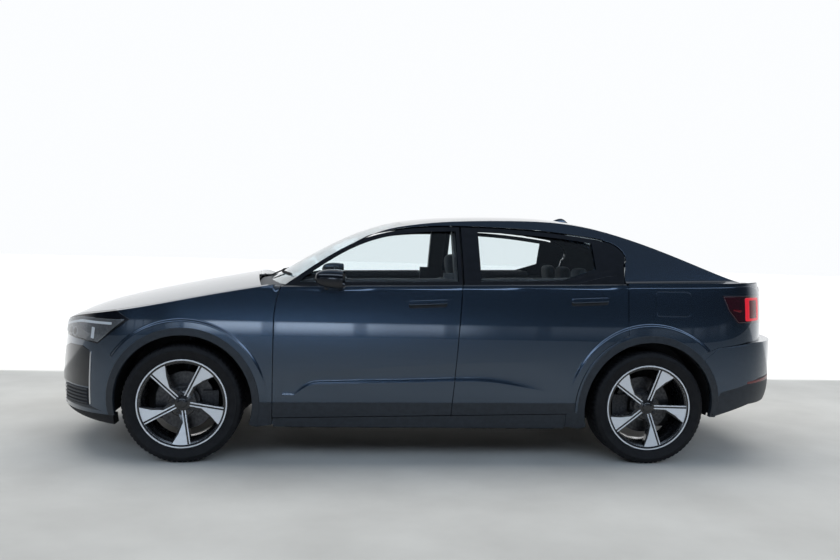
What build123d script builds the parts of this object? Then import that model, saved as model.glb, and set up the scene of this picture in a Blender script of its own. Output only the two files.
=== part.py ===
from build123d import *
import math
import os
from functools import lru_cache

import numpy as np

# Driving dimensions in millimetres: X forward, Y left, Z up, ground at z = 0
length = 4606.0
body_width = 1859.0
height = 1479.0
wheelbase = 2735.0
front_overhang = 870.0
ground_clearance = 151.0
track = 1594.0
tyre_radius = 338.0
tyre_width = 245.0
rim_radius = 249.0
arch_radius = 398.0
sill_height = 216.0
shut_gap = 5.0
frame_gap = 10.0
fit_gap = 0.4
trim_gap = 0.6
skin_wall = 25.0
door_wall = 108.0
frame_wall = 34.0
rail_wall = 72.0
hood_wall = 38.0
glass_wall = 5.0
roof_glass_wall = 8.0
roof_panel_wall = 22.0
roof_ledge = 22.0
bumper_wall = 40.0
lamp_wall = 60.0
roof_edge = 42.0
shelf_wall = 28.0
core_inset = 30.0
strap_heights = (430.0, 740.0)
strap_height = 60.0
sill_wall = 130.0
quarter_wall = 60.0

front_x = length / 2 - front_overhang
rear_x = front_x - wheelbase
hub_z = tyre_radius
hub_y = track / 2
half_width = body_width / 2

# Shut lines of the doors, lamps and bumpers, as offsets from the axles
door_front_x = front_x - 507
door_rear_x = rear_x + 145
door_arch_radius = arch_radius + 54
b_line_x = (front_x + rear_x) / 2 - 175
b_line_z = 283.0
b_line_lean = 0.0686
windscreen_foot = front_x - 423
header_x = front_x - 1250
roof_glass_end = rear_x + 512
hatch_front = rear_x + 268
hatch_sill_z = 742.0
lamp_split_y = 608.0


# Formulas of the outer skin

def smooth_curve(points):
    # natural cubic through a few profile points, as a function of the first coordinate
    xs, zs = (np.array(v, float) for v in zip(*sorted(points)))
    step = np.diff(xs)
    count = len(xs)
    system = np.eye(count)
    right = np.zeros(count)
    for i in range(1, count - 1):
        system[i, i - 1:i + 2] = step[i - 1], 2 * (step[i - 1] + step[i]), step[i]
        right[i] = 6 * ((zs[i + 1] - zs[i]) / step[i] - (zs[i] - zs[i - 1]) / step[i - 1])
    bend = np.linalg.solve(system, right)

    def value(x):
        i = min(max(int(np.searchsorted(xs, x)) - 1, 0), count - 2)
        a, b = xs[i + 1] - x, x - xs[i]
        h = step[i]
        return ((bend[i] * a ** 3 + bend[i + 1] * b ** 3) / (6 * h)
                + (zs[i] / h - bend[i] * h / 6) * a + (zs[i + 1] / h - bend[i + 1] * h / 6) * b)

    return value


crown = smooth_curve([
    (front_x - 203, height - 602), (front_x - 362, height - 491), (front_x - 664, height - 295),
    (front_x - 919, height - 159), (front_x - 1107, height - 85), (front_x - 1313, height - 39),
    (front_x - 1623, height - 10), (rear_x + 802, height), (rear_x + 402, height - 17),
    (rear_x + 102, height - 81), (rear_x - 198, height - 177), (rear_x - 498, height - 287),
    (rear_x - 748, height - 363), (rear_x - 998, height - 402)])

waist_z = 600.0
sill_tuck = 55.0
shoulder_tuck = 42.0
nose_centre = front_x - 33
tail_centre = rear_x + 2
nose_power = 2.8
tail_power = 4.0
nose_side_power = 2.0
tail_side_power = 2.4
tail_step = 72.0


def half_breadth(z):
    # widest at the waist, tucked in towards the sill and the shoulder
    if z < waist_z:
        return half_width - sill_tuck * ((waist_z - z) / 400) ** 2.2
    return half_width - shoulder_tuck * ((z - waist_z) / 480) ** 2


def nose_reach(z):
    chin = 45 * ((310 - z) / 68) ** 2 if z < 310 else 30 * ((z - 310) / 435) ** 2
    return length / 2 - chin


def tail_reach(z, step):
    tuck = 24 * ((450 - z) / 90) ** 2 if z < 450 else 0.0
    lean = 12 * ((z - 900) / 180) ** 2 if z > 900 else 0.0
    return -length / 2 + step + tuck + lean


def nose_point(turn, z, inset=0.0):
    # point of the left half outline at height z, turn 0 at the tip and 90 where the flank starts
    angle = math.radians(turn)
    reach = nose_reach(z) - inset - nose_centre
    return (nose_centre + reach * math.cos(angle) ** (2 / nose_power),
            (half_breadth(z) - inset) * math.sin(angle) ** (2 / nose_side_power))


def tail_point(turn, z, inset=0.0, step=tail_step):
    angle = math.radians(turn)
    reach = tail_reach(z, step) + inset - tail_centre
    return (tail_centre + reach * math.cos(angle) ** (2 / tail_power),
            (half_breadth(z) - inset) * math.sin(angle) ** (2 / tail_side_power))


def plan_half(z, inset, step):
    # left half outline from the nose tip to the tail tip
    turns = [0, 6, 14, 24, 35, 46, 57, 67, 76, 84]
    flank_run = [(x, half_breadth(z) - inset) for x in spread(nose_centre, tail_centre, 7)]
    return ([nose_point(t, z, inset) for t in turns] + flank_run
            + [tail_point(t, z, inset, step) for t in reversed(turns)])


def flank(x, z, step=tail_step):
    # half breadth of the lower body at a place along its length
    if tail_centre <= x <= nose_centre:
        return half_breadth(z)
    nose = x > nose_centre
    centre = nose_centre if nose else tail_centre
    reach = (nose_reach(z) if nose else tail_reach(z, step)) - centre
    share = min((x - centre) / reach, 1.0)
    if nose:
        return half_breadth(z) * (1 - share ** nose_power) ** (1 / nose_side_power)
    return half_breadth(z) * (1 - share ** tail_power) ** (1 / tail_side_power)


def shoulder(x):
    return 1038 - 0.026 * x


def hood_top(x, y):
    t = (x - front_x + 333) / (front_overhang + 333)
    fall = 215 * t + 55 * t ** 2 + 110 * max(t, 0) ** 10
    return height - 403 - fall - 62 * (y / 800) ** 2


def ease(low, high, x):
    t = min(max((x - low) / (high - low), 0.0), 1.0)
    return t * t * (3 - 2 * t)


def roof_top(x, y):
    # windscreen, roof, hatch glass and deck in one sweep, bowed across
    screen = ease(front_x - 1333, front_x - 833, x)
    return crown(x + 2.6e-4 * screen * y * y) - (42 - 34 * screen) * (y / 620) ** 2


def glass_side(x, z):
    # flank of the glasshouse, leaning in above the shoulder
    pinch = 60 * (x / 940) ** 2 if x > 0 else 165 * (-x / 2100) ** 2.2
    rise = z - shoulder(x)
    return half_width - 63.5 - pinch - 0.58 * rise - 0.00022 * rise * abs(rise)


def rail_y(x):
    # where the roof sweep meets the glasshouse flank
    low, high = 300.0, 900.0
    for _ in range(40):
        mid = (low + high) / 2
        if glass_side(x, roof_top(x, mid)) > mid:
            low = mid
        else:
            high = mid
    return low


def b_line(z):
    return b_line_x - b_line_lean * (z - b_line_z)


def door_foot(x):
    return 282 - 0.0215 * x


# Building blocks

def spread(start, stop, count):
    return [start + (stop - start) * i / (count - 1) for i in range(count)]


def slab(stations, marks, point, shift):
    # loft of thin sections: a smooth outer run of points and the same run shifted inwards
    share = spread(0, 1, len(marks))
    wires = []
    for station in stations:
        outer = [Vector(*point(station, mark)) for mark in marks]
        inner = [p + Vector(*shift) for p in outer]
        wires.append(Wire([Edge.make_spline(outer, parameters=share), Edge.make_line(outer[-1], inner[-1]),
                           Edge.make_spline(inner[::-1], parameters=share),
                           Edge.make_line(inner[0], outer[0])]))
    return Solid.make_loft(wires)


@lru_cache
def tube(inset, step=tail_step, low=190.0, high=1130.0):
    # lofted lower body: plan outlines stacked in height
    marks = np.array(plan_half(waist_z, 0, step))
    run = np.concatenate([[0], np.cumsum(np.hypot(*np.diff(marks, axis=0).T))])
    share = list(run / run[-1])
    wires = []
    for z in spread(low, high, 9):
        left = [(x, y, z) for x, y in plan_half(z, inset, step)]
        right = [(x, -y, z) for x, y, z in left]
        wires.append(Wire([Edge.make_spline(side, [(0, way, 0), (0, -way, 0)], parameters=share)
                           for side, way in ((left, 1), (right, -1))]))
    return Solid.make_loft(wires)


def path(points, lift):
    # closed face from corner points; a nested list is a smooth run of points
    runs = [[Vector(*lift(p)) for p in (item if isinstance(item, list) else [item])] for item in points]
    edges = []
    for run, following in zip(runs, runs[1:] + runs[:1]):
        if len(run) > 1:
            edges.append(Edge.make_spline(run))
        if (run[-1] - following[0]).length > 1e-6:
            edges.append(Edge.make_line(run[-1], following[0]))
    return Face(Wire(edges))


def side_prism(points, low=0.0, high=1100.0):
    return Solid.extrude(path(points, lambda p: (p[0], low, p[1])), (0, high - low, 0))


def plan_prism(points, low=0.0, high=1600.0):
    return Solid.extrude(path(points, lambda p: (p[0], p[1], low)), (0, 0, high - low))


def block(x, y, z):
    # box from three pairs of limits
    size = [b - a for a, b in (x, y, z)]
    return Pos(*[(a + b) / 2 for a, b in (x, y, z)]) * Box(*size)


def drum(radius, x, y, z):
    # cylinder along Y between two limits
    return Solid.make_cylinder(radius, y[1] - y[0], Plane((x, y[0], z), x_dir=(1, 0, 0), z_dir=(0, 1, 0)))


def rod(radius, start, end):
    way = Vector(*end) - Vector(*start)
    return Solid.make_cylinder(radius, way.length, Plane(Vector(*start), z_dir=way))


def mirrored(shape):
    return shape.mirror(Plane.XZ)


def only(shape):
    # the largest solid, with stray slivers left out
    return max(shape.solids(), key=lambda s: s.volume)


def pair(shape):
    return Compound(children=[shape, mirrored(shape)])


nodes = {}

# Shared skins
body = tube(0)
skin = body - tube(skin_wall)


@lru_cache
def side_skin(start, end):
    # slab of the glasshouse flank between two depths
    return slab(spread(rear_x - 1000, front_x - 250, 14), spread(930, 1500, 7),
                lambda x, z: (x, glass_side(x, z) - start, z), (0, start - end, 0))


@lru_cache
def top_skin(start, end):
    # slab of the windscreen, roof and hatch sweep between two depths
    return slab(spread(rear_x - 1000, front_x - 230, 24), spread(-840, 840, 11),
                lambda x, y: (x, y, roof_top(x, y) - start), (0, 0, start - end))


@lru_cache
def hood_skin(end):
    return slab(spread(front_x - 470, length / 2 + 40, 14), spread(-960, 960, 9),
                lambda x, y: (x, y, hood_top(x, y)), (0, 0, -end))


under_roof = top_skin(0, 620)
under_hood = hood_skin(900)
inside_frame = side_skin(frame_wall, frame_wall + 900)
inside_rail = side_skin(rail_wall, rail_wall + 900)


def roof_span(x_from, x_to, inset, count=15):
    # plan outline between the rails
    xs = spread(x_from, x_to, count)
    left = [(x, rail_y(x) - inset) for x in xs]
    return [left, [(x, -y) for x, y in reversed(left)]]


# Door outlines in side view, grown by a gap

window_line = smooth_curve([
    (front_x - 545, 1013), (front_x - 743, 1152), (front_x - 949, 1275), (front_x - 1168, 1350),
    (front_x - 1345, 1378), (rear_x + 1016, 1389), (rear_x + 547, 1367), (rear_x + 281, 1336)])


def window_run(x_from, x_to, grow, count=8):
    # stretch of the line over the side windows, moved square to itself
    run = []
    for x in spread(x_from, x_to, count):
        slope = (window_line(x + 1) - window_line(x - 1)) / 2
        scale = grow / math.hypot(1, slope)
        run.append((x - slope * scale, window_line(x) + scale))
    return run


def b_edge(z, offset):
    return b_line(z) + offset, z


def front_door_low(grow, top):
    front = door_front_x - shut_gap / 2 + grow
    back = shut_gap / 2 - grow
    return [b_edge(door_foot(b_line_x) - grow, back), (front, door_foot(door_front_x) - grow), (front, 800),
            [(front, 801), (front - 10, 930), (front - 38, shoulder(front - 38) + top)],
            b_edge(shoulder(b_line_x) + top, back)]


def rear_door_low(grow, top):
    radius = door_arch_radius - grow + shut_gap / 2
    foot = door_foot(rear_x + door_arch_radius) - grow
    start = math.degrees(math.asin((foot - hub_z) / radius))
    stop = math.degrees(math.acos((door_rear_x + shut_gap / 2 - grow - rear_x) / radius))
    arc = [(rear_x + radius * math.cos(math.radians(a)), hub_z + radius * math.sin(math.radians(a)))
           for a in spread(start, stop, 7)]
    edge = door_rear_x + shut_gap / 2 - grow
    return [b_edge(door_foot(b_line_x) - grow, grow - shut_gap / 2), arc, (edge, shoulder(edge) + top),
            b_edge(shoulder(b_line_x) + top, grow - shut_gap / 2)]


def front_door_high(grow, low):
    back = b_line(1200) + frame_gap - grow
    return [(back, shoulder(back) + low), (door_front_x - 46 + grow, shoulder(door_front_x) + low),
            window_run(front_x - 553 + grow, back, grow)]


def rear_door_high(grow, low):
    front = b_line(1200) - shut_gap / 2 + grow
    edge = door_rear_x + shut_gap / 2 - grow
    rear_end = [(rear_x + 230, 1324 + grow), (rear_x + 160 - grow * 0.7, 1295 + grow * 0.7),
                (rear_x + 118 - grow, 1240), (rear_x + 132 - grow, 1190)]
    return [(edge, shoulder(edge) + low), (front, shoulder(front) + low),
            window_run(front, rear_x + 281, grow), rear_end]


def front_window(grow):
    back = b_line(1200) + frame_gap + 22 - grow
    return [(back, shoulder(back) + 14 - grow), (front_x - 640 + grow, shoulder(front_x - 640) + 14 - grow),
            window_run(front_x - 650 + grow, back, grow - 26)]


def rear_window(grow):
    front = b_line(1200) - 105 + grow
    back = rear_x + 312 - grow
    return [(back, shoulder(back) + 92 - grow), (rear_x + 520, shoulder(rear_x + 520) + 28 - grow),
            (front, shoulder(front) + 14 - grow), window_run(front, back, grow - 26)]


# Doors: outer skin to the shut line, thick core held back from it, shelf and window frame
core = tube(skin_wall - 1) - tube(door_wall)


hollow_depth = 22.0
hollow_ledge = 13.0
hollow_top = smooth_curve([(front_x - 548, 536), (front_x - 1133, 572), (rear_x + 1088, 603), (rear_x + 490, 626)])
hollow_crest = smooth_curve([(front_x - 633, 391), (front_x - 709, 448), (front_x - 793, 462), (front_x - 913, 466),
                             (front_x - 1297, 476), (rear_x + 1102, 486), (rear_x + 966, 482), (rear_x + 782, 454),
                             (rear_x + 616, 416), (rear_x + 505, 364)])


def hollow():
    # shallow trough: slopes in from its upper crease and steps back out at its lower crest
    outside = half_width + 30
    wires = []
    for x in spread(front_x - 560, rear_x + 500, 19):
        top, crest = hollow_top(x), hollow_crest(min(x, front_x - 633))
        depth = 1 + hollow_depth * ease(rear_x + 480, rear_x + 810, x)
        floor = crest + hollow_ledge
        wires.append(Wire.make_polygon([Vector(x, outside, top), Vector(x, half_breadth(top), top),
                                        Vector(x, half_breadth(floor) - depth, floor),
                                        Vector(x, half_breadth(crest), crest), Vector(x, outside, crest)]))
    return Solid.make_loft(wires, ruled=True)


trough = hollow()


def door(low_outline, high_outline, window, core_inset):
    outer = (skin & side_prism(low_outline(0, 0))) - trough
    inner = core & side_prism(low_outline(-core_inset, -shelf_wall / 2))
    shelf = ((body & side_prism(low_outline(0, 0)) & shelf_band(0))
             - inside_frame)
    frame = (side_skin(0, frame_wall) & side_prism(high_outline(0, -shelf_wall / 2))) - side_prism(window(0))
    return only(outer + inner + shelf + frame)


def shelf_band(drop, x_from=rear_x - 990, x_to=door_front_x + 60):
    # slice of constant thickness under the shoulder line
    return side_prism([(x_from, shoulder(x_from) - shelf_wall), (x_to, shoulder(x_to) - shelf_wall),
                       (x_to, shoulder(x_to) - drop), (x_from, shoulder(x_from) - drop)])


def door_glass(window):
    return only(side_skin(12, 12 + glass_wall) & side_prism(window(-fit_gap)))


nodes["door_front_left"] = door(front_door_low, front_door_high, front_window, core_inset)
nodes["door_rear_left"] = door(rear_door_low, rear_door_high, rear_window, core_inset)
nodes["glass_front_left"] = door_glass(front_window)
nodes["glass_rear_left"] = door_glass(rear_window)

# Regions cut out of the fixed skin for lamps, bumpers, flap and arches
arch_front = drum(arch_radius, front_x, (420, 1100), hub_z)
arch_rear = drum(arch_radius, rear_x, (600, 1100), hub_z)
doors_low = side_prism(front_door_low(shut_gap, 60)) + side_prism(rear_door_low(shut_gap, 60))
doors_high = (side_prism(front_door_high(frame_gap, -60)) + side_prism(rear_door_high(frame_gap, -60)))


def head_lamp_region(grow):
    return side_prism([(front_x + 298 - grow * 2, 812), (front_x + 488, 663 - grow),
                       (front_x + 603, 674 - grow), (length / 2 + 50, 690 - grow),
                       (length / 2 + 50, 900), (front_x + 450, 900)], 430 - grow, 1100)


def tail_lamp_region(grow):
    return side_prism([(rear_x - 447 + grow * 2, 1016 + grow), (rear_x - 486 + grow, 928),
                       (rear_x - 555 + grow, 852 - grow), (-length / 2 - 50, 852 - grow),
                       (-length / 2 - 50, 1016 + grow)], lamp_split_y - grow, 1100)


def front_bumper_region(grow):
    return side_prism([(front_x + 300 - grow, 100), (front_x + 300 - grow, 520),
                       (front_x + 492 - grow, 668 + grow), (length / 2 + 60, 668 + grow),
                       (length / 2 + 60, 100)])


def rear_bumper_region(grow):
    return side_prism([(rear_x - 260 + grow, 100), (rear_x - 260 + grow, 640), (rear_x - 412 + grow, 704 + grow),
                       (rear_x - 690, 735 + grow), (-length / 2 - 60, 735 + grow), (-length / 2 - 60, 100)])


floor_z = 222.0
floor_wall = 18.0
flap_x = (rear_x - 238, rear_x - 23)
flap_z = (890.0, 1035.0)
flap_depth = 8.0


def flap_region(grow):
    return (block((flap_x[0] - grow, flap_x[1] + grow), (700, 1000), (flap_z[0] - grow, flap_z[1] + grow)))


# Body side: quarter, shelf, sill, pillars and roof rail in one piece
def body_side():
    not_hatch = plan_prism(hatch_plan(shut_gap), 690)
    wall = body - tube(quarter_wall)
    quarter = wall & side_prism([(rear_x - 700, sill_height), (rear_x + 500, sill_height),
                                 (rear_x + 500, shoulder(rear_x)), (rear_x - 1000, shoulder(rear_x - 1000)),
                                 (rear_x - 1000, 500)])
    quarter = quarter - rear_bumper_region(trim_gap) - tail_lamp_region(trim_gap) - doors_low - arch_rear
    quarter = quarter - (flap_region(shut_gap) - tube(40)) - not_hatch
    shelf = ((body & shelf_band(0, x_to=rear_x + 400)) + (tube(skin_wall + fit_gap) & shelf_band(0)))
    shelf = shelf - inside_rail - doors_low - tail_lamp_region(trim_gap) - not_hatch
    rails = (side_skin(0, rail_wall) & under_roof
             & side_prism([(rear_x - 900, shoulder(rear_x - 900) - shelf_wall / 2),
                           (door_front_x + 60, shoulder(door_front_x + 60) - shelf_wall / 2),
                           (door_front_x + 60, 1600), (rear_x - 900, 1600)]))
    glazed = plan_prism(roof_span(roof_glass_end - 2, front_x - 400, roof_edge - trim_gap, 25), 800)
    panelled = plan_prism(roof_span(hatch_front + 2, roof_glass_end, roof_edge - trim_gap, 6), 800)
    open_roof = plan_prism(roof_span(hatch_front + 2, front_x - 400, roof_edge + roof_ledge, 25))
    rails = rails - doors_high - not_hatch - open_roof
    rails = rails - (top_skin(-1, roof_glass_wall + fit_gap) & glazed)
    rails = rails - (top_skin(-1, roof_panel_wall + fit_gap) & panelled)
    rails = rails - tail_lamp_region(trim_gap)
    sill = ((tube(skin_wall + fit_gap) - tube(sill_wall))
            & side_prism([(rear_x + 440, sill_height), (front_x - 413, sill_height),
                          (front_x - 413, door_foot(front_x) - shut_gap - 6),
                          (rear_x + 440, door_foot(rear_x + 440) - shut_gap)]))
    post_wall = tube(skin_wall + 5) - tube(112)
    hinge_post = post_wall & (
        block((door_front_x + shut_gap, door_front_x + 60), (0, 1000), (sill_height, shoulder(front_x) + 10))
        + block((door_front_x + shut_gap, front_x - 415), (0, 1000), (sill_height, 940)))
    strap_wall = tube(skin_wall + 15) - tube(door_wall + 12)
    straps = []
    for z in strap_heights:
        front_face = door_front_x - shut_gap / 2 - core_inset + fit_gap
        straps.append((tube(skin_wall + 15) - tube(100))
                      & block((front_face, door_front_x + 20), (0, 1000), (z - strap_height / 2, z + strap_height / 2)))
        rear_face = b_line(z - strap_height / 2) - shut_gap / 2 - core_inset + fit_gap
        straps.append(strap_wall & block((rear_face, b_line(z) + 4), (0, 1000),
                                         (z - strap_height / 2, z + strap_height / 2)))
    flap_stop = (tube(flap_depth + fit_gap) - tube(41)) & block(
        (sum(flap_x) / 2 - 12, sum(flap_x) / 2 + 12), (0, 1000), (sum(flap_z) / 2 - 12, sum(flap_z) / 2 + 12))
    centre = b_line(700)
    post_low = (tube(door_wall + 8) - tube(170)) & block((centre - 75, centre + 75), (0, 1000),
                                                         (floor_z + floor_wall + fit_gap, 1110))
    post_high = side_skin(42, 112) & block((b_line(1200) - 62, b_line(1200) + 48), (0, 1000),
                                           (shoulder(centre) + 8, 1412))
    whole = quarter + shelf + sill + hinge_post + post_low + post_high + rails + flap_stop
    for strap in straps:
        whole += strap
    return only(whole)


def hatch_plan(grow):
    xs = spread(hatch_front + grow, rear_x - 700, 9)
    left = [(x, rail_y(x) - roof_edge + grow) for x in xs]
    left += [(rear_x - 790, lamp_split_y - 6 + grow)]
    return [left[:-1], left[-1], (-length / 2 - 50, lamp_split_y - 6 + grow),
            (-length / 2 - 50, -lamp_split_y + 6 - grow), (rear_x - 790, -lamp_split_y + 6 - grow),
            [(x, -y) for x, y in reversed(left[:-1])]]


side_left = body_side()
nodes["body_sides"] = side_left

# Front wing, hood, bumper and lamps
wing_side = side_prism([(door_front_x + shut_gap / 2, sill_height), (length / 2 + 40, sill_height),
                        (length / 2 + 40, 1200), (door_front_x - 60, 1200),
                        (door_front_x - 60 + shut_gap, shoulder(door_front_x) + 8)])
wing = (skin & wing_side & under_hood) - front_bumper_region(trim_gap) - head_lamp_region(trim_gap)
wing = wing - arch_front - doors_low - block((front_x + 560, 3000), (0, 1000), (0, 1200))
hood_turns = spread(0, 72, 13)
hood_back = windscreen_foot + 62
hood_bow = 0.9e-4
hood_nose_gap = 10.0


def hood_edge(inset):
    # plan outline just inside the wings and the nose, solved at the hood's own height
    run = []
    for turn in hood_turns:
        z = 760.0
        for _ in range(12):
            x, y = nose_point(turn, z, inset + hood_nose_gap * math.cos(math.radians(turn)) ** 2)
            z = hood_top(x, y)
        run.append((x, y))
    for x in spread(run[-1][0], hood_back - hood_bow * run[-1][1] ** 2, 6)[1:]:
        y = run[-1][1]
        for _ in range(6):
            y = flank(x, hood_top(x, y)) - inset
        run.append((x, y))
    return run


def hood_plan(inset):
    edge = hood_edge(inset)
    rear_edge = [(hood_back - hood_bow * y * y, y) for y in spread(edge[-1][1], -edge[-1][1], 9)]
    return plan_prism([edge, rear_edge, [(x, -y) for x, y in reversed(edge[1:])] + [edge[0]]], 500)


hood_room = hood_skin(hood_wall + shut_gap) & hood_plan(skin_wall)
wing = wing - hood_room
nodes["wings"] = only(wing)
nodes["hood"] = only(hood_skin(hood_wall) & hood_plan(skin_wall + shut_gap))

nose_back = front_x + 180
nose_wall = body - tube(bumper_wall)
grille_y, grille_z = 520.0, (262.0, 398.0)
lip_top = 255.0
bumper = (nose_wall & under_hood & block((nose_back, 3000), (-1000, 1000), (lip_top, 800)))
side_cut = side_prism([(front_x + 300, 100), (front_x + 300, 520), (front_x + 492, 668), (front_x + 492, 1000),
                       (nose_back - 50, 1000), (nose_back - 50, 100)])
bumper = bumper - side_cut - mirrored(side_cut) - arch_front - mirrored(arch_front)
bumper = bumper - head_lamp_region(trim_gap) - mirrored(head_lamp_region(trim_gap))
bumper = bumper - block((nose_back, 3000), (-grille_y, grille_y), grille_z) - hood_room
nodes["front_bumper"] = only(bumper)

lip = (body - tube(90, low=150.0)) & block((front_x + 395, 3000), (-1000, 1000), (194, lip_top - fit_gap))
nodes["front_lip"] = only(lip - arch_front - mirrored(arch_front))

slats = [block((nose_back, 3000), (-grille_y + fit_gap, grille_y - fit_gap), (z, z + 9))
         for z in spread(grille_z[0] + 16, grille_z[1] - 25, 4)]
frame_bars = block((nose_back, 3000), (-grille_y + fit_gap, grille_y - fit_gap),
                   (grille_z[0] + fit_gap, grille_z[1] - fit_gap))
frame_bars -= block((nose_back, 3000), (-grille_y + 14, grille_y - 14), (grille_z[0] + 12, grille_z[1] - 12))
for slat in slats:
    frame_bars += slat
nodes["front_grille"] = only((tube(10) - tube(34)) & frame_bars)

lamp = ((body - tube(lamp_wall)) & head_lamp_region(0) & under_hood) - hood_room
nodes["head_lamps"] = only(lamp)

# Rear bumper, diffuser and tail lamps
rear_body = tube(0, step=0.0)
rear_wall = rear_body - tube(bumper_wall, step=0.0)
clad_line = side_prism([(rear_x - 300, 100), (rear_x - 300, 400), (rear_x - 445, 434), (rear_x - 741, 515),
                        (-length / 2 - 60, 535), (-length / 2 - 60, 100)])
low_edge = side_prism([(rear_x - 250, 270), (rear_x - 406, 281), (rear_x - 661, 352), (-length / 2 - 60, 364),
                       (-length / 2 - 60, 900), (rear_x - 250, 900)])
rear_zone = rear_bumper_region(0) & low_edge
rear_zone = rear_zone - arch_rear
tail = rear_wall & (rear_zone - clad_line)
tail_shelf = ((rear_body - tube(150, step=0.0)) & block((-3000, rear_x - 760), (0, 1000), (704, 735))
              & rear_bumper_region(0))
hatch_stop = block((rear_x - 880, rear_x - 840), (330, 370), (730, hatch_sill_z - fit_gap))
tail_half = only(tail) + tail_shelf + hatch_stop
nodes["rear_bumper"] = only(tail_half + mirrored(tail_half))
skirt_half = only(rear_wall & (rear_zone & clad_line))
nodes["rear_diffuser"] = only(skirt_half + mirrored(skirt_half))
tail_lamp = (body - tube(lamp_wall)) & tail_lamp_region(0)
nodes["tail_lamps"] = only(tail_lamp)

# Glass roof, windscreen and roof rear panel
foot_bow = 2.6e-4
foot_y = spread(760, -760, 9)
screen_plan = plan_prism([[(windscreen_foot - foot_bow * y * y, y) for y in foot_y],
                          (header_x, -900), (header_x, 900)], 800)
screen_span = plan_prism(roof_span(header_x - 30, front_x - 400, roof_edge, 13), 800)
nodes["windscreen"] = only(top_skin(0, roof_glass_wall) & screen_plan & screen_span)
nodes["roof_glass"] = only(top_skin(0, roof_glass_wall)
                          & plan_prism(roof_span(header_x - trim_gap, roof_glass_end, roof_edge), 800))
nodes["roof_rear_panel"] = only(top_skin(0, roof_panel_wall) & plan_prism(
    roof_span(roof_glass_end - trim_gap, hatch_front + shut_gap, roof_edge, 6), 800))

fin_x = hatch_front + 72
fin = Pos(fin_x, 0, crown(fin_x) - 6) * scale(Sphere(1), by=(62, 18, 30))
nodes["roof_rear_panel"] = only(nodes["roof_rear_panel"] + (fin - top_skin(roof_panel_wall - 1, roof_panel_wall + 80)))

# Hatch with its glass and light bar
hatch_zone = plan_prism(hatch_plan(0), 600)
deck = top_skin(0, 35) & hatch_zone & tube(0, high=1500.0)
panel = ((body - tube(45)) & under_roof & hatch_zone
         & block((-3000, rear_x - 700), (-lamp_split_y + 6, lamp_split_y - 6), (hatch_sill_z, 1300)))


def hatch_window(grow):
    xs = spread(hatch_front - 62 + grow, rear_x - 520 - grow, 7)
    left = [(x, rail_y(x) - roof_edge - 62 + grow) for x in xs]
    return plan_prism([left, [(x, -y) for x, y in reversed(left)]], 700)


bar_z = (948.0, 1002.0)
bar_region = block((-3000, rear_x - 700), (-lamp_split_y + 12, lamp_split_y - 12), bar_z)
bar_gap = block((-3000, rear_x - 700), (-lamp_split_y - 12, lamp_split_y + 12),
                (bar_z[0] - fit_gap, bar_z[1] + fit_gap))
hatch = deck + panel - hatch_window(0) - ((body - tube(22)) & bar_gap)
nodes["hatch"] = only(hatch)
nodes["hatch_glass"] = only(top_skin(4, 4 + glass_wall) & hatch_window(-fit_gap))
nodes["light_bar"] = only((body - tube(22 - fit_gap)) & bar_region & hatch_zone)

# Charge flap on the left rear quarter
nodes["charge_flap"] = only((body - tube(flap_depth)) & flap_region(0))

# Chassis places
king_low = (front_x, hub_y - 72, 220.0)
king_top = (front_x, hub_y - 207, 870.0)
arm_wall = 20.0
beam_z = (196.0, 262.0)
rail_y_limits = (395.0, 450.0)
rail_z_limits = (430.0, 540.0)
rear_arm_z = 250.0
strut_radius = 20.0
spring_radius = 58.0
pin_radius = 17.0
ball_radius = 19.0

# Sill cladding, wheel liners, floor and battery
clad_drop = 10.0
clad_front = door_front_x - shut_gap
clad_rear = rear_x + 505
nodes["sill_cladding"] = only(skin & side_prism([
    (clad_rear, sill_height - clad_drop), (clad_front, sill_height - clad_drop),
    (clad_front, door_foot(clad_front) - shut_gap), (clad_rear, door_foot(clad_rear) - shut_gap)]))

liner_wall = 5.0


def liner(x, inner_y, depth):
    shell = (drum(arch_radius + liner_wall + 1, x, (inner_y, 1000), hub_z)
             - drum(arch_radius + 1, x, (inner_y + liner_wall, 1000), hub_z))
    return only(shell & tube(depth + fit_gap) & block((-3000, 3000), (0, 1000), (hub_z - 60, 1000)))


liner_front = only(liner(front_x, 470, bumper_wall) - rod(spring_radius + 14, king_low, king_top))
liner_rear = liner(rear_x, 640, quarter_wall)

heel_x = rear_x + 420
load_floor_z = 600.0
dash_wall_x = front_x - 440
main_floor = tube(sill_wall + fit_gap) & block((heel_x, dash_wall_x + floor_wall), (-1000, 1000),
                                              (floor_z, floor_z + floor_wall))
heel_board = block((heel_x - floor_wall, heel_x + 1), (-560, 560), (floor_z, load_floor_z + floor_wall))
load_floor = block((-length / 2 + 160, heel_x), (-560, 560), (load_floor_z, load_floor_z + floor_wall))
dash_wall = tube(sill_wall + 40) & block((dash_wall_x, dash_wall_x + floor_wall), (-1000, 1000), (floor_z, 930))
nodes["floor_pan"] = only(main_floor + heel_board + load_floor + dash_wall)

battery_x = (heel_x + 60, dash_wall_x - 110)
battery = block(battery_x, (-640, 640), (ground_clearance, floor_z - fit_gap))
nodes["battery_pack"] = fillet(battery.edges().filter_by(Axis.Z), 45)

# Cowl under the windscreen foot
cowl_y = spread(735, -735, 9)
cowl_plan = plan_prism([[(hood_back - shut_gap - hood_bow * y * y, y) for y in cowl_y],
                        [(windscreen_foot + trim_gap - foot_bow * y * y, y) for y in reversed(cowl_y)]], 700)
nodes["cowl"] = only(slab(spread(front_x - 640, front_x - 350, 6), spread(-760, 760, 9),
                          lambda x, y: (x, y, hood_top(x, y) - 52), (0, 0, -14)) & cowl_plan)

# Subframes with arms, rails and strut towers

def arm(x, foot_y, end_y, z, root, tip):
    plate = plan_prism([(x - root, foot_y), (x + root, foot_y), (x + tip, end_y), (x - tip, end_y)], z - arm_wall, z)
    return plate + rod(tip + 4, (x, end_y, z - arm_wall), (x, end_y, z))


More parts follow.
